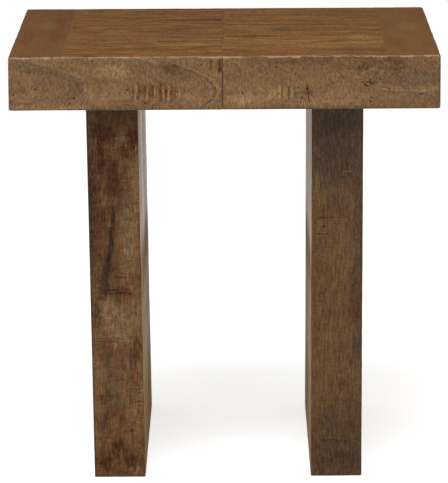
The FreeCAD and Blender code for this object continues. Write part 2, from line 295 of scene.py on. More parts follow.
@dataclass(frozen=True)
class Streak:
    """Line of tint that follows a few points and fades at both ends.

    Args:
        stain: tint of the streak.
        path: points on the face, in mm.
        widths: half width at the start and at the end, in mm.
        strength: cover at its middle.
        fade: share of its length over which each end fades.
    """

    stain: Stain
    path: tuple[tuple[float, float], ...]
    widths: tuple[float, float]
    strength: float
    fade: float = 0.12

    def cover(self, places: np.ndarray) -> np.ndarray:
        """Cover of the tint at places on the face."""
        points = np.array(self.path)
        lengths = np.linalg.norm(np.diff(points, axis=0), axis=1)
        starts = np.concatenate(([0.0], np.cumsum(lengths))) / lengths.sum()
        cover = np.zeros(len(places))
        for i, (start, step) in enumerate(zip(points[:-1], np.diff(points, axis=0))):
            share = np.clip((places - start) @ step / (step @ step), 0.0, 1.0)
            gap = np.linalg.norm(places - start - share[:, None] * step, axis=1)
            run = starts[i] + share * (starts[i + 1] - starts[i])
            width = self.widths[0] + run * (self.widths[1] - self.widths[0])
            ends = smooth(np.minimum(run, 1.0 - run) / self.fade)
            cover = np.maximum(cover, smooth(STREAK_CORE * (1.0 - gap / width)) * ends)
        return self.strength * cover


@dataclass(frozen=True)
class Patch:
    """Soft oval cloud of tint, whose edge breaks up along and across the fibres.

    Args:
        stain: tint of the cloud.
        centre: its middle on the face, in mm.
        radii: half sizes, in mm.
        strength: cover at its middle.
        turn: slope of its long side, in degrees.
    """

    stain: Stain
    centre: tuple[float, float]
    radii: tuple[float, float]
    strength: float
    turn: float = 0.0

    def cover(self, places: np.ndarray) -> np.ndarray:
        """Cover of the tint at places on the face."""
        angle = math.radians(self.turn)
        away = places - np.array(self.centre)
        along = away @ np.array([math.cos(angle), math.sin(angle)]) / self.radii[0]
        across = away @ np.array([-math.sin(angle), math.cos(angle)]) / self.radii[1]
        return self.strength * smooth(PATCH_CORE * (1.0 - np.hypot(along, across)))


@dataclass(frozen=True)
class GrowthArc:
    """Pointed arch of a flat-sawn board: a dark growth line with a cloud of tint inside it.

    Args:
        apex: tip of the arch on the face, in mm.
        openness: how fast the arch bends away from its tip, per mm.
        reach: how far back from the tip its upper and its lower branch can be seen, in mm.
        line: tint, half width in mm, and cover of the line itself.
        cloud: tint, fading depth in mm, and cover inside the line.
    """

    apex: tuple[float, float]
    openness: float
    reach: tuple[float, float]
    line: tuple[Stain, float, float]
    cloud: tuple[Stain, float, float]

    def gap(self, places: np.ndarray) -> np.ndarray:
        """Distance to the arch, in mm, below zero inside it."""
        away = places - np.array(self.apex)
        slope = 2.0 * self.openness * away[:, 1]
        return (away[:, 0] + self.openness * away[:, 1] ** 2) / np.hypot(1.0, slope)

    def ends(self, places: np.ndarray) -> np.ndarray:
        """How much of the arch is left behind its tip."""
        behind = self.apex[0] - places[:, 0]
        upper = smooth(0.5 + (places[:, 1] - self.apex[1]) / BRANCH_BLEND)
        reach = self.reach[1] + upper * (self.reach[0] - self.reach[1])
        return smooth(ARCH_CORE * (1.0 - behind / reach))

    def parts(self) -> tuple["ArcPart", "ArcPart"]:
        """The line and the cloud, as two marks."""
        return ArcPart(self.line[0], self, True), ArcPart(self.cloud[0], self, False)


@dataclass(frozen=True)
class ArcPart:
    """The line or the cloud of a growth arc."""

    stain: Stain
    arc: GrowthArc
    is_line: bool

    def cover(self, places: np.ndarray) -> np.ndarray:
        """Cover of the tint at places on the face."""
        gap = self.arc.gap(places)
        if self.is_line:
            _, width, strength = self.arc.line
            return strength * np.exp(-((gap / width) ** 2)) * self.arc.ends(places)
        _, depth, strength = self.arc.cloud
        inside = np.where(gap < 0.0, np.exp(gap / depth), np.exp(-((gap / CLOUD_SPILL) ** 2)))
        return strength * inside * self.arc.ends(places)


@dataclass(frozen=True)
class Pit:
    """Small round hole or bruise, sunk into the face.

    Args:
        centre: its middle on the face, in mm.
        radius: its size, in mm.
        depth: how deep it goes, in mm.
        strength: cover of its tint.
        stain: tint in and round it.
    """

    centre: tuple[float, float]
    radius: float = 1.0
    depth: float = 1.4
    strength: float = 0.95
    stain: Stain = DARK

    def share(self, places: np.ndarray, grow: float = 1.0) -> np.ndarray:
        """One at the middle and nought past the rim, which may be grown."""
        gap = np.linalg.norm(places - np.array(self.centre), axis=1)
        return smooth(HOLE_CORE * (1.0 - gap / (self.radius * grow)))

    def cover(self, places: np.ndarray) -> np.ndarray:
        """Cover of the dark tint in and round the hole."""
        return self.strength * self.share(places, PIT_HALO)

    def sunk(self, places: np.ndarray) -> np.ndarray:
        """Depth of the hole, in mm."""
        return self.depth * self.share(places)


@dataclass(frozen=True)
class Check:
    """Crack that runs along a few points.

    Args:
        path: points on the face, in mm.
        width: half width at its middle, in mm.
        depth: how deep it goes, in mm.
        strength: cover of its tint.
        stain: tint in and beside it.
    """

    path: tuple[tuple[float, float], ...]
    width: float = 0.8
    depth: float = 1.2
    strength: float = 0.95
    stain: Stain = DARK

    def share(self, places: np.ndarray, grow: float = 1.0) -> np.ndarray:
        """One in the middle of the crack and nought beside it."""
        width = self.width * grow
        return Streak(self.stain, self.path, (width, width * TAPER), 1.0).cover(places)

    def cover(self, places: np.ndarray) -> np.ndarray:
        """Cover of the dark tint in and beside the crack."""
        return self.strength * self.share(places, CHECK_HALO)

    def sunk(self, places: np.ndarray) -> np.ndarray:
        """Depth of the crack, in mm."""
        return self.depth * self.share(places)


def upright_streaks(
    stain: Stain, places: tuple[float, ...], low: float, high: float, width: float, strength: float
) -> tuple[Streak, ...]:
    """Row of short streaks that cross the grain, each a little longer or shorter than the next.

    Args:
        stain: tint of the streaks.
        places: where they stand along the face, in mm.
        low: their lower end, in mm.
        high: their upper end, in mm.
        width: half width, in mm.
        strength: cover at their middle.

    Returns:
        The streaks.
    """
    made = []
    for i, place in enumerate(places):
        trim = (high - low) * LENGTH_SPREAD * (i * LENGTH_STEP % 1.0)
        path = ((place, low + trim * 0.6), (place + 0.8, (low + high) / 2), (place, high - trim))
        cover = strength * (0.75 + 0.25 * (i * COVER_STEP % 1.0))
        made.append(Streak(stain, path, (width, width * TAPER), cover, UPRIGHT_FADE))
    return tuple(made)


def patches(stain: Stain, *rows: tuple[float, ...]) -> tuple[Patch, ...]:
    """Clouds of one tint. A row holds the middle, the half sizes, the cover and any slope."""
    return tuple(Patch(stain, row[:2], row[2:4], *row[4:]) for row in rows)


def streaks(stain: Stain, *rows: tuple) -> tuple[Streak, ...]:
    """Streaks of one tint. A row holds both half widths, the cover, the fade and the points."""
    return tuple(Streak(stain, row[4:], row[:2], *row[2:4]) for row in rows)


def pits(*rows: tuple[float, ...]) -> tuple[Pit, ...]:
    """Small holes. A row holds the middle, and any radius, depth and cover."""
    return tuple(Pit(row[:2], *row[2:]) for row in rows)


Mark = Streak | Patch | ArcPart | Pit | Check


# Boards


@dataclass(frozen=True)
class Noise:
    """Unevenness of a board, from smooth noise.

    Args:
        size: its greatest value.
        periods: size of a feature along each axis, in mm.
        number: added to the board's seed, which gives each unevenness its own pattern.
    """

    size: float
    periods: tuple[float, ...]
    number: int

    def at(self, points: np.ndarray, seed: int, middle: float = 0.0) -> np.ndarray:
        """Value at each point, where the given share of its range counts as nought."""
        return self.size * (soft_noise(points, self.periods, seed + self.number) - middle)


# Wear of the arrises, waves, raised fibres, scrapes and ripples of the faces, and wander of the grooves
RUBBING = Noise(0.7, (38.0, 38.0, 38.0), 0)
KNOCKS = Noise(1.0, (11.0, 11.0, 11.0), 1)
WAVES = Noise(0.35, (170.0, 46.0, 400.0), 11)
FIBRES = Noise(0.16, (48.0, 5.5, 400.0), 12)
SCRAPES = Noise(1.0, (70.0, 40.0, 400.0), 13)
RIPPLES = Noise(0.3, (7.0, 30.0, 400.0), 14)
GROOVE_WANDER = Noise(0.8, (23.0, 23.0, 23.0), 15)

# Wobble of the growth lines, drift of the marks, frayed edges of the patches, and dull streaks
LONG_WOBBLE = Noise(16.0, (120.0, 40.0, 60.0), 16)
SHORT_WOBBLE = Noise(5.0, (30.0, 14.0, 20.0), 17)
LONG_DRIFT = Noise(1.0, (14.0, 14.0), 21)
SHORT_DRIFT = Noise(0.5, (5.0, 5.0), 31)
FRAYED_ALONG = Noise(16.0, (30.0, 2.8), 41)
FRAYED_ACROSS = Noise(7.0, (2.8, 16.0), 42)
DULL_STREAKS = Noise(0.25, (260.0, 9.0, 400.0), 61)

# Noise values from which an arris is knocked and a face is scraped, and the range to their full size
KNOCK_START, KNOCK_RANGE = 0.8, 0.2
SCRAPE_START, SCRAPE_RANGE = 0.55, 0.3

# Smallest radius of an arris, as a share of the mean one, and what a knock adds to it
LEAST_RADIUS, KNOCK_GAIN = 0.6, 1.1

# Smallest depth of a groove, as a share of its own
LEAST_GROOVE = 0.6

# How far the marks drift, in mm, and the mean of their drift
DRIFT_REACH, DRIFT_MIDDLE = 1.6, 0.75

# Least value and range of an arch's middle, as shares of the width, and of its openness, per mm
MIDDLE_RANGE, OPENNESS_RANGE = (0.15, 0.7), (0.02, 0.05)

# Greatest dullness that a board has of its own
OWN_DULLNESS = 0.2

# Depths in mm down to which marks are full and faces count as shown, and the depth over which both fade
MARK_DEPTH, SHOWN_DEPTH, FADE_DEPTH = 1.0, 0.5, 2.0

# Distance in mm from an arris past which it is no longer measured
FARTHEST_ARRIS = 30.0

# Shift in mm of a board's own place in the noise, by its seed
SEED_SHIFT, SEED_CYCLE = (173.0, 311.0, 97.0), 97

# How far growth lines move along a board for each mm below its face
LINE_SLANT = 2.4

# Places in mm of the close grid lines at the ends of a board, and half the gap between the three
# lines at a pit or a crack
END_LINES, HALF_GAP = (0.0, 0.35, 0.8, 1.4, 2.2, 3.2), 0.55

# Angle in degrees from which an edge is shaded sharp
SHARP_ANGLE = 38.0


@dataclass(frozen=True)
class Mitre:
    """Slanted side of a board: full at one face and cut back at the opposite one.

    Args:
        face: the side that slants.
        full_at: the face where the board keeps its full size.
        size: how far the side is cut back at the far face, in mm.
    """

    face: Face
    full_at: Face
    size: float


@dataclass(frozen=True)
class Envelope:
    """Outside of the whole top or of a whole leg, whose arrises are worn round.

    Args:
        low: lowest corner, in mm.
        high: highest corner, in mm.
        radius: mean radius of a worn arris, in mm.
        seed: picks the pattern of the wear.
        spared: how much farther away the upright arrises and those below count, in mm, which keeps
            the pale worn strip and its painted highlight mostly on the upper arrises.
    """

    low: np.ndarray
    high: np.ndarray
    radius: float
    seed: int
    spared: tuple[float, float] = (2.0, 4.0)

    def worn(self, points: np.ndarray) -> np.ndarray:
        """Moves points near the sharp arrises to the worn ones, and nothing else.

        Args:
            points: places in mm inside the sharp outside.

        Returns:
            The same points, where the arrises are round.
        """
        knocked = smooth((KNOCKS.at(points, self.seed) - KNOCK_START) / KNOCK_RANGE)
        radius = self.radius * (LEAST_RADIUS + RUBBING.at(points, self.seed) + KNOCK_GAIN * knocked)
        middle = (self.low + self.high) / 2
        half = (self.high - self.low) / 2
        away = points - middle
        core = np.clip(away, -(half - radius[:, None]), half - radius[:, None])
        reach = away - core
        longest = np.abs(reach).max(axis=1)
        length = np.linalg.norm(reach, axis=1)
        share = np.where(length > 0.0, longest / np.maximum(length, 1e-9), 1.0)
        return middle + core + reach * share[:, None]

    def arris_distance(self, points: np.ndarray) -> np.ndarray:
        """Distance in mm from places on the outside to the nearest arris."""
        upright, below = self.spared
        low_gaps = points - self.low + np.array([upright, 0.0, below])
        high_gaps = self.high - points + np.array([upright, 0.0, 0.0])
        return np.sort(np.minimum(low_gaps, high_gaps), axis=1)[:, 1]


def grid_lines(length: float, pitch: float, extra: tuple[float, ...] = ()) -> np.ndarray:
    """Places of the grid lines along one side of a board, close together near both ends.

    Args:
        length: length of the side, in mm.
        pitch: spacing away from the ends, in mm.
        extra: places that get three close lines of their own, in mm.

    Returns:
        Rising places from nought to the length.
    """
    ends = [place for place in END_LINES if place < length / 2.5]
    start = ends[-1]
    count = max(1, round((length - 2 * start) / pitch))
    inner = np.linspace(start, length - start, count + 1)
    lines = np.unique(np.concatenate((ends, inner, length - np.array(ends))).round(4))
    for place in extra:
        trio = place + np.array([-HALF_GAP, 0.0, HALF_GAP])
        if trio[0] > start and trio[-1] < length - start:
            kept = lines[np.abs(lines[:, None] - trio).min(axis=1) > HALF_GAP * 0.8]
            lines = np.sort(np.concatenate((kept, trio)))
    return lines


def skin(shape: tuple[int, int, int]) -> tuple[np.ndarray, np.ndarray]:
    """Closed skin of a block of grid points.

    Args:
        shape: number of grid lines along each axis.

    Returns:
        Grid place of each skin point, and the corners of each outward quad.
    """
    number = np.full(shape, -1)
    places = np.indices(shape).reshape(3, -1).T
    last = np.array(shape) - 1
    outer = ((places == 0) | (places == last)).any(axis=1)
    places = places[outer]
    number[tuple(places.T)] = np.arange(len(places))
    quads = []
    for axis in range(3):
        for end in (0, -1):
            sheet = np.take(number, end, axis=axis)
            around = [sheet[:-1, :-1], sheet[1:, :-1], sheet[1:, 1:], sheet[:-1, 1:]]
            if (end == 0) != (axis == 1):
                around.reverse()
            quads.append(np.stack([corner.ravel() for corner in around], axis=1))
    return places, np.concatenate(quads)


@dataclass
class Board:
    """One solid board, built as a closed skin that stands for its CAD node.

    Args:
        node: CAD node that the board stands for.
        low: lowest corner of its full shape, in mm.
        high: highest corner of its full shape, in mm.
        grain: direction of its fibres.
        shown: faces that a viewer sees when the table stands.
        envelope: outside that it is part of.
        pitch: grid spacing along X, Y and Z, in mm.
        mitres: its slanted sides.
        seams: sides that meet a neighbour in a fine groove.
        marks: tints and flaws of its first shown face, and on some boards painted shade, shadow and sheen.
        origin: corner that the marks are measured from, on the face, in mm.
        tint: even share of each tint over the whole board.
        seam_stain: cover of the dark tint in its grooves.
        seed: picks its pattern.
        openness: how fast its arched figure bends, per mm.
        arch_middle: middle of the arches across the grain, in mm.
        lean: moves its points sideways when it stands out of plumb.
        scuffs: height, reach in mm and strength of each level band where the seal is dull.
        groove_depth: depth of the grooves at its seams, in mm.
        groove_width: width of those grooves on this board, in mm.
        fading_depth: depth below a face where its unevenness has faded out, in mm.
    """

    node: str
    low: np.ndarray
    high: np.ndarray
    grain: Axis
    shown: tuple[Face, ...]
    envelope: Envelope
    pitch: tuple[float, float, float]
    mitres: tuple[Mitre, ...] = ()
    seams: tuple[Face, ...] = ()
    marks: tuple[Mark, ...] = ()
    origin: tuple[float, float] = (0.0, 0.0)
    tint: dict[Stain, float] = field(default_factory=dict)
    seam_stain: float = 0.3
    seed: int = 0
    openness: float | None = None
    arch_middle: float | None = None
    lean: Callable[[np.ndarray], np.ndarray] | None = None
    scuffs: tuple[Triple, ...] = ()
    groove_depth: float = 0.55
    groove_width: float = 1.3
    fading_depth: float = 6.0

    def build(self) -> bpy.types.Object:
        """Makes the board's mesh with its painted attributes, riding on the table's body."""
        lines = self.lines()
        places, quads = skin(tuple(len(line) for line in lines))
        square = np.stack([lines[a][places[:, a]] for a in range(3)], axis=1) + self.low
        flat = self.mitred(square)
        worn = self.envelope.worn(flat + self.relief(flat))
        final = self.lean(worn) if self.lean else worn
        mesh = bpy.data.meshes.new(self.node + "_board")
        mesh.from_pydata(final * MM, [], quads)
        self.paint(mesh, flat)
        mesh.shade_smooth()
        mesh.set_sharp_from_angle(angle=math.radians(SHARP_ANGLE))
        board = placed(self.node + "_board", mesh)
        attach(board, ROOT_BODY)
        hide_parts(self.node)
        return board

    def lines(self) -> list[np.ndarray]:
        """Grid lines along the three axes, with close ones at pits and cracks."""
        plane = self.plane(self.shown[0])
        extra = {axis: [] for axis in range(3)}
        for mark in self.marks:
            if isinstance(mark, (Pit, Check)):
                for centre in (mark.centre,) if isinstance(mark, Pit) else mark.path:
                    for axis, value, start in zip(plane, centre, self.origin):
                        extra[axis].append(value + start - self.low[axis])
        size = self.high - self.low
        return [grid_lines(size[a], self.pitch[a], tuple(extra[a])) for a in range(3)]

    def plane(self, face: Face) -> list[int]:
        """The two axes that lie in a face."""
        return [a for a in range(3) if a != face.axis.value]

    def depth(self, points: np.ndarray, face: Face) -> np.ndarray:
        """Distance of points behind a face, in mm."""
        level = self.high if face.side > 0 else self.low
        return np.abs(points[:, face.axis.value] - level[face.axis.value])

    def mitred(self, points: np.ndarray) -> np.ndarray:
        """Slants the mitred sides of a square block of points."""
        moved = points.copy()
        for mitre in self.mitres:
            axis = mitre.face.axis.value
            thickness = (self.high - self.low)[mitre.full_at.axis.value]
            cut = mitre.size * self.depth(points, mitre.full_at) / thickness
            length = (self.high - self.low)[axis]
            opposite = Face(mitre.face.axis, -mitre.face.side)
            share = self.depth(points, opposite) / length
            moved[:, axis] -= mitre.face.side * cut * share
        return moved

    def relief(self, points: np.ndarray) -> np.ndarray:
        """How far each point is moved by wear, tool marks, grooves, pits and cracks, in mm."""
        move = np.zeros_like(points)
        grain = self.grain_places(points)
        scraped = smooth((SCRAPES.at(grain, self.seed) - SCRAPE_START) / SCRAPE_RANGE)
        uneven = WAVES.at(grain, self.seed) + FIBRES.at(grain, self.seed)
        uneven = uneven + scraped * RIPPLES.at(grain, self.seed)
        for face in self.shown:
            sunk = uneven
            for side in self.seams:
                if side.axis != face.axis:
                    near = 1.0 - self.depth(points, side) / self.groove_width
                    wander = LEAST_GROOVE + GROOVE_WANDER.at(points, self.seed)
                    sunk = sunk + self.groove_depth * wander * np.clip(near, 0.0, 1.0) ** 2
            if face == self.shown[0]:
                places = self.mark_places(points)
                for mark in self.marks:
                    if isinstance(mark, (Pit, Check)):
                        sunk = sunk + mark.sunk(places)
            fading = np.clip(1.0 - self.depth(points, face) / self.fading_depth, 0.0, 1.0)
            move[:, face.axis.value] -= face.side * sunk * fading
        return move

    def grain_places(self, points: np.ndarray) -> np.ndarray:
        """Points measured along, across and through the board, with a shift of its own."""
        order = [self.grain.value, self.plane_across(), self.shown[0].axis.value]
        return points[:, order] - self.low[order] + np.array(SEED_SHIFT) * (self.seed % SEED_CYCLE)

    def feather(self, points: np.ndarray) -> np.ndarray:
        """Shift in mm that breaks up the edges of soft patches along and across the fibres."""
        grain = self.grain_places(points)
        shift = np.zeros((len(points), 3))
        shift[:, self.grain.value] = FRAYED_ALONG.at(grain, self.seed, 0.5)
        shift[:, self.plane_across()] = FRAYED_ACROSS.at(grain, self.seed, 0.5)
        return shift[:, self.plane(self.shown[0])]

    def mark_places(self, points: np.ndarray) -> np.ndarray:
        """Places on the marked face, in the marks' own measure, a little unsteady."""
        flat = points[:, self.plane(self.shown[0])]
        places = flat - np.array(self.origin)
        for i in range(2):
            drift = LONG_DRIFT.at(flat, self.seed + i) + SHORT_DRIFT.at(flat, self.seed + i)
            places[:, i] += DRIFT_REACH * (drift - DRIFT_MIDDLE)
        return places

    def figure(self, points: np.ndarray) -> np.ndarray:
        """Growth field of the board. Lines of equal value are its arched growth lines."""
        grain = self.grain_places(points)
        along, across, through = (grain - self.grain_places(self.low[None, :])).T
        width = (self.high - self.low)[self.plane_across()]
        chance = [one_noise(7.3 * self.seed + 3.7, 40 + i) for i in range(3)]
        middle = self.arch_middle
        if middle is None:
            middle = width * (MIDDLE_RANGE[0] + MIDDLE_RANGE[1] * chance[0])
        openness = self.openness
        if openness is None:
            openness = OPENNESS_RANGE[0] + OPENNESS_RANGE[1] * chance[1]
        way = 1.0 if self.openness is not None or chance[2] > 0.5 else -1.0
        wobble = LONG_WOBBLE.at(grain, self.seed) + SHORT_WOBBLE.at(grain, self.seed)
        return way * along + openness * (across - middle) ** 2 + LINE_SLANT * through + wobble

    def dullness(self, points: np.ndarray) -> np.ndarray:
        """How dull the seal is, from nought to one, in streaks and where it is scuffed."""
        dull = OWN_DULLNESS * one_noise(3.1 * self.seed + 0.5, 60)
        dull = dull + DULL_STREAKS.at(self.grain_places(points), self.seed)
        for height, reach, strength in self.scuffs:
            dull = dull + strength * smooth(1.0 - np.abs(points[:, 2] - height) / reach)
        return np.clip(dull, 0.0, 1.0)

    def plane_across(self) -> int:
        """Number of the axis across the grain on the first shown face."""
        through = self.shown[0].axis.value
        return next(a for a in range(3) if a not in (through, self.grain.value))

    def paint(self, mesh: bpy.types.Mesh, points: np.ndarray) -> None:
        """Writes the attributes that the finish reads.

        Args:
            mesh: the board's mesh.
            points: its points before wear and lean, in mm.
        """
        cover = np.zeros((len(points), len(Stain)))
        for stain, share in self.tint.items():
            cover[:, stain.value] = share
        near = smooth(1.0 - (self.depth(points, self.shown[0]) - MARK_DEPTH) / FADE_DEPTH)
        places = self.mark_places(points)
        frayed = places + self.feather(points)
        for mark in self.marks:
            channel = mark.stain.value
            added = mark.cover(frayed if isinstance(mark, Patch) else places)
            added = np.clip(added, 0.0, 1.0) * near
            cover[:, channel] = 1.0 - (1.0 - cover[:, channel]) * (1.0 - added)
        for side in self.seams:
            line = self.seam_stain * smooth(1.0 - self.depth(points, side) / self.groove_width)
            cover[:, DARK.value] = np.maximum(cover[:, DARK.value], line)
        hidden = np.min([self.depth(points, face) for face in self.shown], axis=0)
        values = {
            "grain": ("FLOAT_VECTOR", "vector", self.grain_places(points)),
            "figure": ("FLOAT", "value", self.figure(points)),
            "arris": ("FLOAT", "value", np.minimum(self.envelope.arris_distance(points), FARTHEST_ARRIS)),
            # cover of the stain tints, which in a few marks is painted shade, shadow and sheen
            "stains": ("FLOAT_COLOR", "color", cover),
            "inside": ("FLOAT", "value", smooth((hidden - SHOWN_DEPTH) / FADE_DEPTH)),
            "dullness": ("FLOAT", "value", self.dullness(points)),
        }
        for name, (kind, part, data) in values.items():
            attribute = mesh.attributes.new(name, kind, "POINT")
            attribute.data.foreach_set(part, np.ascontiguousarray(data, dtype=np.float32).ravel())


# Finishes


@dataclass(frozen=True)
class Tone:
    """Broad patch of another colour in the wood, from noise drawn out along the fibres.

    Args:
        periods: size of a patch along and across the fibres, in mm.
        window: noise values where a patch starts and where it is full.
        colour: what it tints the wood.
        strength: cover where it is full.
    """

    periods: tuple[float, float]
    window: tuple[float, float]
    colour: str
    strength: float


@dataclass(frozen=True)
class GrowthLine:
    """Growth lines, from noise along the board's growth field.

    Args:
        period: field value from one line to the next, in mm.
        window: noise values where a line starts and where it is full.
        colour: what it tints the wood.
        strength: cover where it is full.
    """

    period: float
    window: tuple[float, float]
    colour: str
    strength: float


@dataclass(frozen=True)
class Fleck:
    """Fine fibres, rays or pores, which darken or brighten what lies under them.

    Args:
        periods: size of a fleck along and across the fibres, in mm.
        window: noise values where a fleck starts and where it is full.
        change: what it adds to red, green and blue, as shares of what lies under it.
        relief: height that it adds, in mm.
        wavy: whether it follows the curl of the wood.
        ridged: whether it is a thin curling line, with the window on the distance from mid-grey.
    """

    periods: tuple[float, float]
    window: tuple[float, float]
    change: Triple
    relief: float = 0.0
    wavy: bool = True
    ridged: bool = False


@dataclass(frozen=True)
class StainedWood:
    """Mango under a hickory-brown wiping stain, wire brushed and sealed with a dull lacquer.

    The stain sits in pores and cross grain as dark flecks, it wears through to pale wood on the
    arrises, where that pale strip also stands for a painted highlight, and the dull seal leaves only
    a soft sheen at a low angle.

    Args:
        name: the material's name.
        ground: mean colour of the wood.
        tones: broad patches.
        lines: growth lines.
        flecks: fibres, rays and pores.
        tints: colours of the painted stains.
        worn: colour of a worn arris, which is also a painted highlight.
        wear_and_highlight_width: mean width of the worn and highlit strip, in mm.
        wear_and_highlight_strength: cover of that strip.
        raw: colour of the faces that are out of sight.
        curl: how far the flecks wander, along, across and through, in mm.
        roughness: mean roughness of the seal.
        specular: strength of its gloss.
        sheen: how much the brushed fibres catch the light at a low angle.
        sheen_tint: colour of those fibres.
        dulling: how much rougher the seal is where it is dullest.
    """

    name: str
    ground: str
    tones: tuple[Tone, ...]
    lines: tuple[GrowthLine, ...]
    flecks: tuple[Fleck, ...]
    # tints: colours of the painted tint channels: the stain of the wood, and in a few marks painted shade and
    # sheen.
    tints: dict[Stain, str]
    worn: str
    wear_and_highlight_width: float
    wear_and_highlight_strength: float
    raw: str
    curl: Triple
    roughness: float
    specular: float
    sheen: float = 0.0
    sheen_tint: str = "F0CFA4"
    dulling: float = 0.22

    # Size in mm of the noise that breaks up edges, how far it changes the roughness and bends the
    # growth lines, and how much below its mean the roughness starts
    breakup_size: ClassVar[tuple[float, float]] = (9.0, 3.0)
    breakup_gloss: ClassVar[float] = 0.14
    breakup_bend: ClassVar[float] = 0.8
    gloss_drop: ClassVar[float] = 0.18
    # Range of that noise, and what it makes of the painted cover of stain and painted shade
    push_source: ClassVar[tuple[float, float]] = (0.35, 0.65)
    push_target: ClassVar[tuple[float, float]] = (0.55, 1.35)
    # Size in mm of the drift that curls the flecks, and the darkest that they make the wood
    drift_size: ClassVar[Triple] = (42.0, 16.0, 16.0)
    darkest: ClassVar[Triple] = (0.25, 0.25, 0.25)
    # Size in mm and range of the noise along a worn arris, whose pale strip is also a painted
    # highlight, the shares of its width that this gives, where it fades out and is full, and the cover
    # of the raw colour on hidden faces
    rub_highlight_size: ClassVar[tuple[float, float]] = (16.0, 8.0)
    rub_highlight_source: ClassVar[tuple[float, float]] = (0.4, 0.64)
    rub_highlight_target: ClassVar[tuple[float, float]] = (0.3, 1.6)
    rub_highlight_window: ClassVar[tuple[float, float]] = (1.0, 0.2)
    raw_cover: ClassVar[float] = 0.6

    def build(self) -> bpy.types.Material:
        """Makes the material."""
        material, nodes = new_material(self.name)
        grain = nodes.attribute("grain", "Vector")
        breakup = nodes.grain_noise(grain, self.breakup_size, 3.0)
        colour = linear(self.ground)
        for i, tone in enumerate(self.tones):
            noise = nodes.grain_noise(grain, tone.periods, 2.0, i)
            colour = nodes.tint(colour, nodes.window(noise, tone.window), tone.strength, tone.colour)
        colour = self.lined(nodes, colour, breakup)
        colour = self.tinted(nodes, colour, breakup)
        colour, height = self.flecked(nodes, colour, grain)
        colour = self.rubbed_and_highlit(nodes, colour, grain)
        dull = nodes.attribute("dullness")
        uneven = nodes.math("MULTIPLY_ADD", dull, self.dulling, self.roughness - self.gloss_drop)
        bump = nodes.add("ShaderNodeBump", {"Height": height, "Distance": MM, "Strength": 1.0})
        nodes.surface({
            "Base Color": colour, "Normal": bump.outputs[0],
            "Roughness": nodes.math("MULTIPLY_ADD", breakup, self.breakup_gloss, uneven),
            "Specular IOR Level": self.specular, "Sheen Weight": self.sheen, "Sheen Roughness": 0.3,
            "Sheen Tint": linear(self.sheen_tint),
        })
        return material

    def lined(self, nodes: Nodes, colour: Socket, breakup: Socket) -> Socket:
        """Colour with the growth lines over it."""
        growth = nodes.attribute("figure")
        for line in self.lines:
            wave = nodes.math("MULTIPLY", breakup, self.breakup_bend)
            place = nodes.math("MULTIPLY_ADD", growth, 1.0 / line.period, wave)
            noise = nodes.add("ShaderNodeTexNoise", {
                "W": place, "Scale": 1.0, "Detail": 1.0,
            }, noise_dimensions="1D").outputs[0]
            colour = nodes.tint(colour, nodes.window(noise, line.window), line.strength, line.colour)
        return colour

    def tinted(self, nodes: Nodes, colour: Socket, breakup: Socket) -> Socket:
        """Colour under the painted tints of stain and painted shade, whose edges the fine noise breaks up."""
        stains = nodes.add("ShaderNodeAttribute", attribute_name="stains").outputs
        parts = nodes.add("ShaderNodeSeparateColor", {"Color": stains["Color"]}).outputs
        covers = {
            GREY: stains["Alpha"], RED: parts[1], PALE: parts[2], DARK: parts[0],
        }
        push = nodes.ranged(breakup, self.push_source, self.push_target)
        for stain, cover in covers.items():
            colour = nodes.tint(colour, nodes.math("MULTIPLY", cover, push), 1.0, self.tints[stain])
        return colour

    def flecked(self, nodes: Nodes, colour: Socket, grain: Socket) -> tuple[Socket, Socket]:
        """Colour and height with the flecks over them.

        Args:
            nodes: the material's nodes.
            colour: colour of the wood so far.
            grain: place in the board, in mm.

        Returns:
            Colour, and height in mm.
        """
        drift = nodes.noise(nodes.vector("MULTIPLY", grain, tuple(1 / size for size in self.drift_size)), 1.0)
        curled = nodes.vector("MULTIPLY_ADD", drift.outputs["Color"], self.curl, grain)
        factor = (1.0, 1.0, 1.0)
        height = 0.0
        for i, fleck in enumerate(self.flecks):
            noise = nodes.grain_noise(curled if fleck.wavy else grain, fleck.periods, 1.0, i + 20)
            if fleck.ridged:
                noise = nodes.math("ABSOLUTE", nodes.math("SUBTRACT", noise, 0.5))
            share = nodes.window(noise, fleck.window)
            factor = nodes.vector("MULTIPLY_ADD", share, fleck.change, factor)
            if fleck.relief:
                height = nodes.math("MULTIPLY_ADD", share, fleck.relief, height)
        return nodes.vector("MULTIPLY", colour, nodes.vector("MAXIMUM", factor, self.darkest)), height

    def rubbed_and_highlit(self, nodes: Nodes, colour: Socket, grain: Socket) -> Socket:
        """Colour with the stain worn off the arrises as a pale strip that is also a painted highlight, and
        left thin on hidden faces.
        """
        noise = nodes.grain_noise(grain, self.rub_highlight_size, 3.0, 50)
        widths = tuple(share * self.wear_and_highlight_width for share in self.rub_highlight_target)
        share = nodes.math("DIVIDE", nodes.attribute("arris"), nodes.ranged(noise, self.rub_highlight_source, widths))
        worn = nodes.tint(colour, nodes.window(share, self.rub_highlight_window), self.wear_and_highlight_strength, self.worn)
        return nodes.tint(worn, nodes.attribute("inside"), self.raw_cover, self.raw)


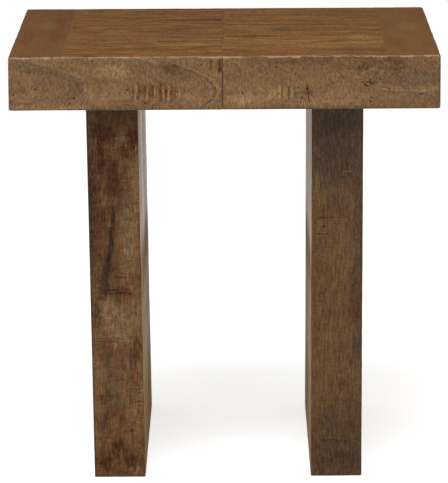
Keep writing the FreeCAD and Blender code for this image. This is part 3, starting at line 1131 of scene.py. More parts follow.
@dataclass(frozen=True)
class SawnTimber:
    """Plain sawn hardwood, planed and left bare under the top.

    It is paler than the stained boards, with fine straight grain and faint saw lines.

    Args:
        name: the material's name.
        along: direction of the fibres.
        pale: its palest colour.
        dark: its darkest colour.
        fibre_length: length of a fibre, in mm.
        fibre_width: width of a fibre, in mm.
        saw_pitch: spacing of the saw lines, in mm.
        saw_length: their length across the fibres, in mm.
        saw_relief: their height, in mm.
        roughness: mean roughness.
        spread: how far the roughness goes to both sides of its mean.
    """

    name: str
    along: Axis
    pale: str = "B08F66"
    dark: str = "80603F"
    fibre_length: float = 60.0
    fibre_width: float = 2.2
    saw_pitch: float = 3.0
    saw_length: float = 15.0
    saw_relief: float = 0.05
    roughness: float = 0.72
    spread: float = 0.1

    def build(self) -> bpy.types.Material:
        """Makes the material."""
        material, nodes = new_material(self.name)
        place = nodes.add("ShaderNodeTexCoord").outputs["Object"]
        fibres = [1 / (self.fibre_width * MM)] * 3
        fibres[self.along.value] = 1 / (self.fibre_length * MM)
        saw = [1 / (self.saw_length * MM)] * 3
        saw[self.along.value] = 1 / (self.saw_pitch * MM)
        fibre, line = (nodes.noise(nodes.vector("MULTIPLY", place, scale), 3.0).outputs[0]
                       for scale in (fibres, saw))
        relief = nodes.math("MULTIPLY", line, self.saw_relief)
        share = nodes.ranged(fibre, (0.32, 0.68))
        limits = (self.roughness - self.spread, self.roughness + self.spread)
        nodes.surface({
            "Base Color": nodes.blend(share, linear(self.dark), linear(self.pale)),
            "Roughness": nodes.ranged(line, target=limits),
            "Normal": nodes.add("ShaderNodeBump", {"Height": relief, "Distance": MM}).outputs[0],
            "Specular IOR Level": 0.3,
        })
        return material


@dataclass(frozen=True)
class ZincSteel:
    """Mild steel fastener with bright zinc plating, which gives a cool, softly mottled metal.

    Args:
        name: the material's name.
        bright: its brightest colour.
        dull: its dullest colour.
        mottle: size of a mottle, in mm.
        relief: height of the mottles, in mm.
        bright_roughness: roughness where it is bright.
        dull_roughness: roughness where it is dull.
    """

    name: str = "zinc_plated_steel"
    bright: str = "C9CCCE"
    dull: str = "A4A6A3"
    mottle: float = 2.5
    relief: float = 0.01
    bright_roughness: float = 0.28
    dull_roughness: float = 0.46

    def build(self) -> bpy.types.Material:
        """Makes the material."""
        material, nodes = new_material(self.name)
        place = nodes.add("ShaderNodeTexCoord").outputs["Object"]
        noise = nodes.noise(place, 3.0, scale=1 / (self.mottle * MM)).outputs[0]
        share = nodes.ranged(noise, (0.35, 0.65))
        nodes.surface({
            "Base Color": nodes.blend(share, linear(self.dull), linear(self.bright)), "Metallic": 1.0,
            "Roughness": nodes.ranged(share, target=(self.dull_roughness, self.bright_roughness)),
            "Normal": nodes.add("ShaderNodeBump", {"Height": noise, "Distance": self.relief * MM}).outputs[0],
        })
        return material


# The finest fibres and pores of mango are about 0.2 mm wide and would not show at all, so the flecks
# are drawn five to ten times as wide.
EDGE_FINISH = StainedWood(
    name="stained_mango_edge_grain",
    ground="785B3D",
    tones=(
        Tone((95, 24), (0.42, 0.62), "886A45", 0.5),
        Tone((55, 15), (0.5, 0.68), "634A2F", 0.45),
        Tone((130, 20), (0.52, 0.7), "735038", 0.3),
        Tone((36, 13), (0.52, 0.68), "7F6653", 0.45),
    ),
    lines=(GrowthLine(15, (0.52, 0.66), "5C4429", 0.22), GrowthLine(41, (0.52, 0.68), "8F714E", 0.18)),
    flecks=(
        Fleck((2.4, 7), (0.51, 0.62), (-0.24, -0.25, -0.26), -0.03),
        Fleck((2.2, 6), (0.5, 0.62), (0.27, 0.29, 0.34), 0.02),
        Fleck((6, 9), (0.028, 0), (0.28, 0.28, 0.3), 0.02, ridged=True),
        Fleck((5, 7), (0.03, 0), (-0.24, -0.26, -0.28), -0.03, ridged=True),
        Fleck((26, 2.2), (0.54, 0.7), (-0.08, -0.09, -0.1), -0.03),
        Fleck((9, 8), (0.46, 0.6), (0.03, -0.01, -0.08)),
        Fleck((10, 7), (0.48, 0.62), (-0.03, 0.01, 0.09)),
        Fleck((4, 1.6), (0.7, 0.78), (-0.24, -0.27, -0.29), -0.1, False),
    ),
    tints={DARK: "382413", RED: "5E3617", PALE: "A3835A", GREY: "604B37"},
    # pale worn strip on the upper arrises, which is also a painted highlight, here and in the other finishes
    worn="B59375",
    wear_and_highlight_width=3.2,
    wear_and_highlight_strength=0.85,
    raw="8C7150",
    curl=(12, 5, 5),
    roughness=0.5,
    specular=0.1,
)

TOP_FINISH = replace(
    EDGE_FINISH,
    name="stained_mango_top",
    ground="6A4927",
    tones=(
        Tone((120, 26), (0.42, 0.6), "77562F", 0.6),
        Tone((90, 14), (0.48, 0.62), "54371A", 0.5),
        Tone((90, 30), (0.52, 0.68), "70442A", 0.35),
    ),
    lines=(GrowthLine(18, (0.52, 0.66), "54391C", 0.25), GrowthLine(47, (0.52, 0.68), "805D36", 0.2)),
    flecks=(
        Fleck((72, 22), (0.5, 0.66), (-0.17, -0.2, -0.23), -0.04),
        Fleck((44, 15), (0.52, 0.66), (0.2, 0.19, 0.16), 0.02),
        Fleck((18, 9), (0.54, 0.66), (-0.15, -0.17, -0.19), -0.03),
        Fleck((34, 18), (0.52, 0.66), (0.12, 0.03, -0.05), 0),
        Fleck((4, 24), (0.5, 0.62), (-0.15, -0.16, -0.17), -0.02),
        Fleck((4.5, 22), (0.52, 0.64), (0.15, 0.15, 0.15), 0.01),
        Fleck((9, 2), (0.62, 0.72), (-0.3, -0.33, -0.35), -0.1, False),
    ),
    tints={DARK: "35200D", RED: "61321A", PALE: "8C6C3C", GREY: "5E4A38"},
    worn="9A7454",
    curl=(14, 6, 6),
    roughness=0.8,
    specular=0.02,
)

END_STRIP_FINISH = replace(
    TOP_FINISH,
    name="stained_mango_end_strips",
    tones=(
        Tone((120, 40), (0.42, 0.6), "70502B", 0.5),
        Tone((90, 30), (0.5, 0.66), "5E3F20", 0.35),
    ),
    lines=(GrowthLine(47, (0.52, 0.68), "78552F", 0.15),),
    flecks=(
        Fleck((120, 5), (0.5, 0.64), (-0.07, -0.08, -0.09), -0.04),
        Fleck((9, 2), (0.66, 0.76), (-0.14, -0.15, -0.16), -0.08, False),
    ),
)

LEG_FINISH = replace(
    EDGE_FINISH,
    name="stained_mango_leg",
    ground="68492C",
    tones=(
        Tone((70, 22), (0.44, 0.6), "7A5F41", 0.55),
        Tone((42, 15), (0.5, 0.66), "4B3420", 0.55),
        Tone((60, 18), (0.52, 0.68), "5E3622", 0.5),
        Tone((38, 20), (0.54, 0.7), "5C4E3A", 0.5),
    ),
    lines=(GrowthLine(15, (0.54, 0.68), "4A3420", 0.12), GrowthLine(41, (0.54, 0.7), "7A5C3B", 0.12)),
    flecks=(
        Fleck((16, 2.4), (0.5, 0.6), (-0.22, -0.24, -0.26), -0.04),
        Fleck((14, 2.2), (0.5, 0.6), (0.3, 0.3, 0.3), 0.02),
        Fleck((3, 11), (0.52, 0.63), (-0.21, -0.23, -0.25), -0.03),
        Fleck((2.8, 10), (0.53, 0.64), (0.2, 0.2, 0.2), 0.02),
        Fleck((11, 8), (0.46, 0.6), (0.04, -0.03, -0.16)),
        Fleck((12, 7), (0.48, 0.62), (-0.05, 0.02, 0.16)),
        Fleck((11, 6), (0.028, 0), (0.14, 0.14, 0.14), 0.02, ridged=True),
        Fleck((6, 1.6), (0.7, 0.78), (-0.24, -0.27, -0.3), -0.1, False),
    ),
    tints={DARK: "2A180E", RED: "4A2210", PALE: "88704F", GREY: "43352B"},
    worn="8E7454",
    wear_and_highlight_width=1.2,
    wear_and_highlight_strength=0.35,
    curl=(8, 2.5, 2.5),
    roughness=0.34,
    specular=0.1,
    sheen=0.34,
    sheen_tint="F2BC80",
    dulling=0.6,
)

PLAIN_LEG_FINISH = replace(
    LEG_FINISH,
    name="stained_mango_plain_leg",
    ground="63472A",
    tones=(
        Tone((90, 26), (0.44, 0.62), "725539", 0.3),
        Tone((70, 22), (0.5, 0.68), "4F3B28", 0.22),
        Tone((60, 18), (0.52, 0.68), "5A3B28", 0.25),
    ),
    flecks=(
        Fleck((20, 2.6), (0.5, 0.6), (-0.25, -0.27, -0.29), -0.04),
        Fleck((18, 2.4), (0.5, 0.6), (0.32, 0.32, 0.32), 0.02),
        Fleck((2.8, 7), (0.51, 0.62), (-0.17, -0.18, -0.19), -0.03),
        Fleck((2.6, 6), (0.52, 0.63), (0.18, 0.18, 0.18), 0.02),
        Fleck((11, 8), (0.46, 0.6), (0.02, -0.02, -0.1)),
        Fleck((12, 7), (0.48, 0.62), (-0.03, 0.02, 0.12)),
        Fleck((6, 1.6), (0.7, 0.78), (-0.24, -0.27, -0.3), -0.1, False),
    ),
    specular=0.14,
    sheen_tint="F1C892",
)


# Sub-assemblies

# Grid spacing of the boards along X, Y and Z, in mm
DECK_PITCH = (2.0, 2.6, 8.0)
END_STRIP_PITCH = (2.2, 2.6, 8.0)
LEG_FRONT_PITCH = (1.4, 5.0, 1.5)
LEG_BACK_PITCH = (3.0, 5.0, 3.4)
LEG_PLANK_PITCH = (6.0, 3.0, 4.5)

# Grid spacing along, across and through an apron, in mm
FRONT_APRON_PITCH = (1.3, 1.25, 7.0)
OTHER_APRON_PITCH = (2.6, 2.6, 7.0)

# Seed of the top's worn outside, and the first seed of each kind of its boards
TOP_SEED, DECK_SEED, END_STRIP_SEED, APRON_SEED = 5, 100, 120, 140


def dress(board: bpy.types.Object, material: bpy.types.Material) -> None:
    """Gives a new piece its material."""
    board.data.materials.append(material)
    LOG.info("%s: %d faces, %s", board.name, len(board.data.polygons), material.name)


@dataclass
class PlankTop:
    """The thick top: a deck of planks in a border, and six aprons mitred below its edges.

    Args:
        low: lowest corner of the deck's border, in mm.
        high: highest corner of the deck's border, in mm.
        arris_radius: mean radius of its worn arrises, in mm.
        rows: rows of the deck from front to back, as their CAD nodes are named.
        seam_stain: cover of the dark tint in the deck's grooves.
        groove_depth: depth of those grooves, in mm.
        apron_seam_stain: cover of the dark tint in the aprons' grooves.
    """

    low: np.ndarray = field(default_factory=lambda: node_box("border_end_left")[0])
    high: np.ndarray = field(default_factory=lambda: node_box("border_end_right")[1])
    arris_radius: float = 3.0
    rows: tuple[str, ...] = ("border_front", "plank_front", "plank_middle", "plank_back", "border_back")
    seam_stain: float = 0.12
    groove_depth: float = 0.25
    apron_seam_stain: float = 0.85

    def __post_init__(self) -> None:
        """Takes the top's sizes from the frame."""
        self.deck_underside = node_box("border_end_left")[0][2]
        self.deck_thickness = self.high[2] - self.deck_underside
        self.apron_underside = node_box("apron_front_left")[0][2]
        self.joint = node_box("apron_front_left")[1][0]
        self.field_half_width = node_box("border_end_right")[0][0]
        low = np.array([self.low[0], self.low[1], self.apron_underside])
        self.envelope = Envelope(low, self.high.copy(), self.arris_radius, TOP_SEED)

    def build(self) -> None:
        """Makes every board of the top and dresses it."""
        woods = (
            (self.deck_boards(), TOP_FINISH),
            (self.end_borders(), END_STRIP_FINISH),
            (self.aprons(), EDGE_FINISH),
        )
        for boards, finish in woods:
            wood = finish.build()
            for board in boards:
                dress(board.build(), wood)

    def deck_boards(self) -> list[Board]:
        """Planks and strips whose fibres run along X."""
        boards = []
        columns = {"left": (-self.field_half_width, self.joint), "right": (self.joint, self.field_half_width)}
        for column, (start, end) in columns.items():
            for row in self.rows:
                node = row + "_" + column
                low, high = node_box(node)
                low[0], high[0] = start, end
                low[2], high[2] = self.deck_underside, self.high[2]
                outer = {"border_front": FRONT, "border_back": BACK}.get(row)
                mitres = (Mitre(outer, TOP, self.deck_thickness),) if outer else ()
                seams = tuple(face for face in (FRONT, BACK, LEFT, RIGHT) if face != outer)
                boards.append(Board(
                    node, low, high, Axis.X, (TOP,), self.envelope, DECK_PITCH, mitres, seams,
                    marks=DECK_MARKS, tint=DECK_TINTS.get(node, {}), seed=DECK_SEED + len(boards),
                    seam_stain=self.seam_stain, groove_depth=self.groove_depth,
                ))
        return boards

    def end_borders(self) -> list[Board]:
        """Strips across both ends, whose fibres run from front to back."""
        boards = []
        for column, outer, inner in (("left", LEFT, RIGHT), ("right", RIGHT, LEFT)):
            node = "border_end_" + column
            low, high = node_box(node)
            mitres = tuple(Mitre(face, TOP, self.deck_thickness) for face in (outer, FRONT, BACK))
            boards.append(Board(
                node, low, high, Axis.Y, (TOP,), self.envelope, END_STRIP_PITCH, mitres, (inner,),
                marks=DECK_MARKS, tint=DECK_TINTS[node], seed=END_STRIP_SEED + len(boards),
                seam_stain=self.seam_stain, groove_depth=self.groove_depth,
            ))
        return boards

    def aprons(self) -> list[Board]:
        """The boards that make the thick edge on all four sides."""
        boards = []
        sides = {
            "front": (FRONT, Axis.X), "back": (BACK, Axis.X),
            "end_left": (LEFT, Axis.Y), "end_right": (RIGHT, Axis.Y),
        }
        for side, (face, grain) in sides.items():
            names = [side] if side.startswith("end") else [side + "_left", side + "_right"]
            for name in names:
                boards.append(self.apron("apron_" + name, face, grain, APRON_SEED + len(boards)))
        return boards

    def apron(self, node: str, face: Face, grain: Axis, seed: int) -> Board:
        """One apron, mitred to the deck above it and at the corners of the top.

        Args:
            node: CAD node that it stands for.
            face: side of the top that it closes.
            grain: direction of its fibres.
            seed: picks its pattern.

        Returns:
            The board.
        """
        low, high = node_box(node)
        thickness = self.deck_thickness
        mitres = [Mitre(TOP, face, thickness)]
        seams = []
        for side in (Face(grain, -1), Face(grain, 1)):
            at_corner = abs((low if side.side < 0 else high)[grain.value]) > abs(self.joint) + 1.0
            if at_corner:
                mitres.append(Mitre(side, face, thickness))
            else:
                seams.append(side)
        along, across, through = FRONT_APRON_PITCH if face == FRONT else OTHER_APRON_PITCH
        pitch = tuple({grain: along, face.axis: through}.get(axis, across) for axis in Axis)
        arch = APRON_ARCHES.get(node, (None, None))
        return Board(
            node, low, high, grain, (face, BOTTOM), self.envelope, pitch, tuple(mitres), tuple(seams),
            marks=APRON_MARKS.get(node, ()), tint=APRON_TINTS.get(node, {}), seed=seed,
            seam_stain=self.apron_seam_stain, openness=arch[0], arch_middle=arch[1],
        )


@dataclass
class SlabLeg:
    """One slab leg of upright boards round a hollow, which leans in a little below the top.

    Args:
        column: which leg it is, left or right.
        marks: tints and flaws of its front board, with some painted shadow under the top, measured from its
            left edge and the floor.
        tint: even share of each tint over its end boards.
        seed: picks its pattern.
        arris_radius: mean radius of its worn arrises, in mm.
        hidden_head: how far its outside goes on unworn above its head, in mm.
    """

    column: str
    marks: tuple[Mark, ...]
    tint: dict[Stain, float]
    seed: int
    arris_radius: float = 2.0
    hidden_head: float = 100.0

    def __post_init__(self) -> None:
        """Takes the leg's sizes from the frame."""
        head_low, head_high = node_box(self.name("head_rail"))
        foot_low, foot_high = node_box(self.name("foot_rail"))
        front_low, front_high = node_box(self.name("front_board"))
        back_high = node_box(self.name("back_board"))[1]
        self.board = front_high[1] - front_low[1]
        self.knee = head_low[2]
        right_move = foot_high[0] - head_high[0]
        left_move = foot_low[0] - head_low[0]
        self.foot_move = right_move if right_move > 0.0 else left_move
        self.x = (head_low[0] - self.board, head_high[0] + self.board)
        self.y = (front_low[1], back_high[1])
        self.z = (front_low[2], front_high[2])
        low = np.array([self.x[0], self.y[0], self.z[0]])
        high = np.array([self.x[1], self.y[1], self.z[1] + self.hidden_head])
        self.envelope = Envelope(low, high, self.arris_radius, self.seed)

    def name(self, part: str) -> str:
        """CAD node of one part of this leg."""
        return "leg_" + self.column + "_" + part

    def lean(self, points: np.ndarray) -> np.ndarray:
        """Moves points below the top sideways, more towards the floor."""
        moved = points.copy()
        moved[:, 0] += self.foot_move * np.maximum(0.0, 1.0 - points[:, 2] / self.knee)
        return moved

    def boards(self) -> list[Board]:
        """End boards and planks of the slab."""
        made = []
        for part, face in (("front_board", FRONT), ("back_board", BACK)):
            edge = self.y[0] if face == FRONT else self.y[1]
            ends = sorted((edge, edge - face.side * self.board))
            low = np.array([self.x[0], ends[0], self.z[0]])
            high = np.array([self.x[1], ends[1], self.z[1]])
            fine = face == FRONT
            inward = Face(Axis.Y, -face.side)
            made.append(Board(
                self.name(part), low, high, Axis.Z, (face, LEFT, RIGHT, BOTTOM), self.envelope,
                LEG_FRONT_PITCH if fine else LEG_BACK_PITCH, seams=(inward,),
                marks=self.marks if fine else (), origin=(self.x[0], 0.0), tint=self.tint,
                seed=self.seed + len(made), lean=self.lean, scuffs=LEG_SCUFFS,
            ))
        for face, side in (("inner", -1), ("outer", 1)):
            for number in range(1, len(PLANK_TINTS) + 1):
                made.append(self.plank(face, side, number, self.seed + 10 + len(made)))
        return made

    def plank(self, face: str, side: int, number: int, seed: int) -> Board:
        """One upright plank of the inner or outer face.

        Args:
            face: inner or outer, as the CAD node is named.
            side: -1 for the face nearer the table's middle, 1 for the other.
            number: its place from the front.
            seed: picks its pattern.

        Returns:
            The board.
        """
        node = self.name(face + "_plank_" + str(number))
        low, high = node_box(node)
        outward = side * (1 if self.column == "right" else -1)
        edge = self.x[1] if outward > 0 else self.x[0]
        ends = sorted((edge, edge - outward * self.board))
        low = np.array([ends[0], max(low[1], self.y[0] + self.board), self.z[0]])
        high = np.array([ends[1], min(high[1], self.y[1] - self.board), self.z[1]])
        strength = PLANK_SCUFFS[number - 1]
        return Board(
            node, low, high, Axis.Z, (Face(Axis.X, outward), BOTTOM), self.envelope, LEG_PLANK_PITCH,
            # inner planks carry painted shade at the feet, a painted sheen on the heads and a band of painted
            # reflection
            seams=(FRONT, BACK), marks=PLANK_PAINTED_SHADE_AND_SHEEN if face == "inner" else (),
            tint=PLANK_TINTS[number - 1], seed=seed, lean=self.lean,
            scuffs=tuple((height, reach, share * strength) for height, reach, share in LEG_SCUFFS),
        )

    def build(self, wood: bpy.types.Material) -> None:
        """Makes the leg's boards and dresses them."""
        for board in self.boards():
            dress(board.build(), wood)


@dataclass
class UnderFrame:
    """Timbers, tongues and bolts whose CAD shape is right and only gets a finish.

    Args:
        timber_grain: direction of the fibres, by a part of the CAD node's name.
        steel_nodes: CAD nodes of plated steel.
    """

    timber_grain: dict[str, Axis] = field(default_factory=lambda: {
        "bearer": Axis.Y, "centre_batten": Axis.Y, "splice_block": Axis.X, "corner_blocks": Axis.Z,
        "loose_tongues": Axis.X, "mitre_splines": Axis.X, "leg_tenons": Axis.Y, "rail": Axis.Y,
    })
    steel_nodes: tuple[str, ...] = ("leg_bolts", "leg_nuts", "leg_washers")

    def dress(self, steel: bpy.types.Material) -> None:
        """Puts bare timber or plated steel on every carried-over node."""
        timbers = {axis: SawnTimber("sawn_hardwood_" + axis.name.lower(), axis).build() for axis in Axis}
        for name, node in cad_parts.items():
            if node.hide_render:
                continue
            grain = next((axis for part, axis in self.timber_grain.items() if part in name), None)
            material = steel if name in self.steel_nodes else timbers[grain]
            node.data.materials.clear()
            node.data.materials.append(material)
            LOG.info("%s: %s", name, material.name)


@dataclass(frozen=True)
class ScrewHeads:
    """Pan-head screws that hold the timbers to the deck and the splice blocks to the aprons.

    Args:
        diameter: width of a head, in mm.
        height: how far a head stands out, in mm.
        slot_width: width of its cross slot, in mm.
        slot_depth: depth of its cross slot, in mm.
        pitch: usual spacing of the heads, in mm.
        timber_gap: gap between the end of a timber and its first head, in mm.
        block_gap: the same gap on a splice block, in mm.
        crown: width of a head's flat crown, as a share of the diameter.
        slot_length: length of the slot, as a share of the diameter.
        sides: number of sides of a head.
        seed: picks how the slots are turned.
    """

    diameter: float = 9.0
    height: float = 3.2
    slot_width: float = 1.3
    slot_depth: float = 1.8
    pitch: float = 90.0
    timber_gap: float = 38.0
    block_gap: float = 15.0
    crown: float = 0.62
    slot_length: float = 0.55
    sides: int = 20
    seed: int = 4

    def rows(self) -> list[tuple[np.ndarray, np.ndarray]]:
        """Places and directions of all heads, in mm."""
        found = []
        timbers = [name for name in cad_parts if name.startswith("bearer") or name == "centre_batten"]
        for name in sorted(timbers):
            low, high = node_box(name)
            for y in self.spread(low[1], high[1], self.timber_gap):
                found.append((np.array([(low[0] + high[0]) / 2, y, low[2]]), np.array([0.0, 0.0, -1.0])))
        batten_low, batten_high = node_box("centre_batten")
        for name, way in (("splice_block_front", 1.0), ("splice_block_back", -1.0)):
            low, high = node_box(name)
            face = high[1] if way > 0 else low[1]
            for x in self.spread(low[0], high[0], self.block_gap):
                if not batten_low[0] - self.diameter < x < batten_high[0] + self.diameter:
                    found.append((np.array([x, face, (low[2] + high[2]) / 2]), np.array([0.0, way, 0.0])))
        return found

    def spread(self, low: float, high: float, gap: float) -> np.ndarray:
        """Even places between two ends, about one pitch apart."""
        return np.linspace(low + gap, high - gap, max(2, round((high - low - 2 * gap) / self.pitch) + 1))

    def sizes(self) -> dict[str, float]:
        """Sizes that the node tree takes as inputs, in metres."""
        return {
            "Diameter": self.diameter * MM, "Height": self.height * MM,
            "Slot Width": self.slot_width * MM, "Slot Depth": self.slot_depth * MM,
        }

    def tree(self, steel: bpy.types.Material) -> bpy.types.NodeTree:
        """Node tree that sets one cross-slotted head on every point, facing its own way.

        Args:
            steel: material of the heads.

        Returns:
            The tree, with its sizes as named inputs in metres.
        """
        tree = bpy.data.node_groups.new("screw_heads", "GeometryNodeTree")
        tree.interface.new_socket("Geometry", in_out="INPUT", socket_type="NodeSocketGeometry")
        for name in self.sizes():
            tree.interface.new_socket(name, in_out="INPUT", socket_type="NodeSocketFloat")
        tree.interface.new_socket("Geometry", in_out="OUTPUT", socket_type="NodeSocketGeometry")
        nodes = Nodes(tree)
        start = nodes.add("NodeGroupInput").outputs
        height = start["Height"]
        radius = nodes.math("MULTIPLY", start["Diameter"], 0.5)
        head = nodes.add("GeometryNodeMeshCone", {
            "Vertices": self.sides, "Radius Top": nodes.math("MULTIPLY", radius, self.crown),
            "Radius Bottom": radius, "Depth": height,
        })
        bottom = nodes.math("SUBTRACT", height, start["Slot Depth"])
        lift = nodes.joined(Z=nodes.math("MULTIPLY_ADD", height, 0.5, bottom))
        size = nodes.joined(X=start["Diameter"], Y=start["Slot Width"], Z=height)
        bar = nodes.add("GeometryNodeMeshCube", {
            "Size": nodes.vector("MULTIPLY", size, (self.slot_length, 1.0, 1.0)),
        })
        cut = nodes.add("GeometryNodeMeshBoolean", {"Mesh 1": head.outputs[0]}, operation="DIFFERENCE")
        for turn in (0.0, math.pi / 2):
            slot = nodes.add("GeometryNodeTransform", {
                "Geometry": bar.outputs[0], "Translation": lift, "Rotation": (0.0, 0.0, turn),
            })
            tree.links.new(slot.outputs[0], cut.inputs["Mesh 2"])
        facing = nodes.add("GeometryNodeInputNamedAttribute", {"Name": "facing"}, data_type="FLOAT_VECTOR")
        aligned = nodes.add("FunctionNodeAlignRotationToVector", {"Vector": facing.outputs[0]}, axis="Z")
        spin = nodes.add("FunctionNodeRandomValue", {"Max": math.pi, "Seed": self.seed}, data_type="FLOAT")
        rotated = nodes.add("FunctionNodeRotateRotation", {
            0: aligned.outputs[0], 1: nodes.joined(Z=spin.outputs[1]),
        }, rotation_space="LOCAL")
        heads = nodes.add("GeometryNodeInstanceOnPoints", {
            "Points": start["Geometry"], "Instance": cut.outputs[0], "Rotation": rotated.outputs[0],
        })
        real = nodes.add("GeometryNodeRealizeInstances", {0: heads.outputs[0]})
        dressed = nodes.add("GeometryNodeSetMaterial", {"Geometry": real.outputs[0], "Material": steel})
        nodes.add("NodeGroupOutput", {0: dressed.outputs[0]})
        return tree

    def build(self, steel: bpy.types.Material) -> bpy.types.Object:
        """Makes all heads as one plain mesh."""
        rows = self.rows()
        mesh = bpy.data.meshes.new("screw_points")
        mesh.from_pydata([place * MM for place, _ in rows], [], [])
        facing = mesh.attributes.new("facing", "FLOAT_VECTOR", "POINT")
        facing.data.foreach_set("vector", np.array([way for _, way in rows], dtype=np.float32).ravel())
        points = placed("screw_points", mesh)
        modifier = points.modifiers.new("heads", "NODES")
        tree = self.tree(steel)
        modifier.node_group = tree
        sizes = self.sizes()
        for item in tree.interface.items_tree:
            if item.in_out == "INPUT" and item.name in sizes:
                modifier[item.identifier] = sizes[item.name]
        evaluated = points.evaluated_get(bpy.context.evaluated_depsgraph_get())
        plain = bpy.data.meshes.new_from_object(evaluated)
        plain.name = "timber_screws"
        bpy.data.objects.remove(points)
        heads = placed("timber_screws", plain)
        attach(heads, ROOT_BODY)
        LOG.info("%s: %d heads, %d faces", heads.name, len(rows), len(plain.polygons))
        return heads


# Marks of the deck, by X and Y on the top
DECK_MARKS = (
    *patches(DARK, (-248, -10, 18, 170, 0.22), (248, -130, 18, 60, 0.25)),
    *patches(
        RED, (110, -106, 26, 14, 0.3, -4), (-200, -4, 20, 26, 0.22), (-287, -60, 14, 110, 0.4),
        (285, 170, 16, 50, 0.28), (-246, 120, 14, 80, 0.35),
    ),
    *patches(
        PALE, (112, -104, 30, 16, 0.65, -4), (55, -92, 22, 18, 0.35), (196, -70, 30, 34, 0.6),
        (196, -110, 26, 30, 0.6), (40, 52, 34, 14, 0.4), (45, 6, 26, 20, 0.35), (-60, -140, 50, 22, 0.35),
        (-190, 40, 24, 30, 0.25), (130, -152, 70, 12, 0.3), (-262, 60, 20, 60, 0.3),
        (272, 40, 22, 60, 0.25),
    ),
    *streaks(
        DARK, (20, 6, 0.7, 0.02, (-3, 122), (-20, 122), (-60, 122), (-100, 124)),
        (6, 3, 0.4, 0.12, (10, -62), (40, -61), (70, -59)), (6, 3, 0.4, 0.12, (30, 168), (110, 172)),
        (6, 4, 0.3, 0.12, (-205, 66), (-130, 62), (-95, 70)),
        (8, 4, 0.35, 0.12, (60, 14), (110, 10), (165, 16)), (7, 4, 0.3, 0.12, (80, 64), (190, 68)),
        (9, 7, 0.22, 0.12, (-190, -178), (-60, -184)),
        (6, 4, 0.45, 0.12, (150, -112), (185, -106), (222, -112)),
        (3.5, 3, 0.4, 0.12, (182, -84), (190, -98), (186, -112)),
    ),
    *streaks(
        RED, (18, 8, 0.8, 0.02, (-3, 118), (-40, 118), (-90, 120)),
        (7, 5, 0.4, 0.12, (-90, 121), (-150, 124)), (10, 5, 0.95, 0.1, (0, -61), (35, -60), (75, -58)),
        (6, 4, 0.55, 0.12, (70, -58), (120, -54), (175, -50)),
    ),
    *pits((206, -103, 2.2, 0.5)),
)

DECK_TINTS = {
    "border_end_left": {DARK: 0.2, RED: 0.18},
    "border_end_right": {DARK: 0.1, RED: 0.06},
    "border_front_right": {RED: 0.14, DARK: 0.05},
    "border_front_left": {DARK: 0.04},
    "plank_front_right": {PALE: 0.16},
    "plank_middle_left": {DARK: 0.07},
    "plank_middle_right": {DARK: 0.05, PALE: 0.06},
    "plank_back_left": {RED: 0.1},
    "border_back_left": {DARK: 0.06},
    "border_back_right": {DARK: 0.04},
}

# Marks of the front aprons, by X and Z on the front
LEFT_ARCS = (
    GrowthArc((-198, 577), 0.065, (120, 34), (DARK, 1.5, 0.42), (GREY, 26, 0.62)),
    GrowthArc((-196.5, 577), 0.064, (110, 30), (PALE, 2, 0.4), (PALE, 2, 0)),
    GrowthArc((-216, 577), 0.07, (60, 20), (DARK, 1.2, 0.16), (GREY, 10, 0.1)),
    GrowthArc((-12.6, 570), 0.042, (112, 22), (DARK, 1.5, 0.62), (GREY, 12, 0.3)),
    GrowthArc((-9, 570), 0.041, (100, 24), (PALE, 2, 0.4), (PALE, 2, 0)),
    GrowthArc((-22, 570), 0.044, (60, 16), (DARK, 1.1, 0.22), (GREY, 6, 0.08)),
)

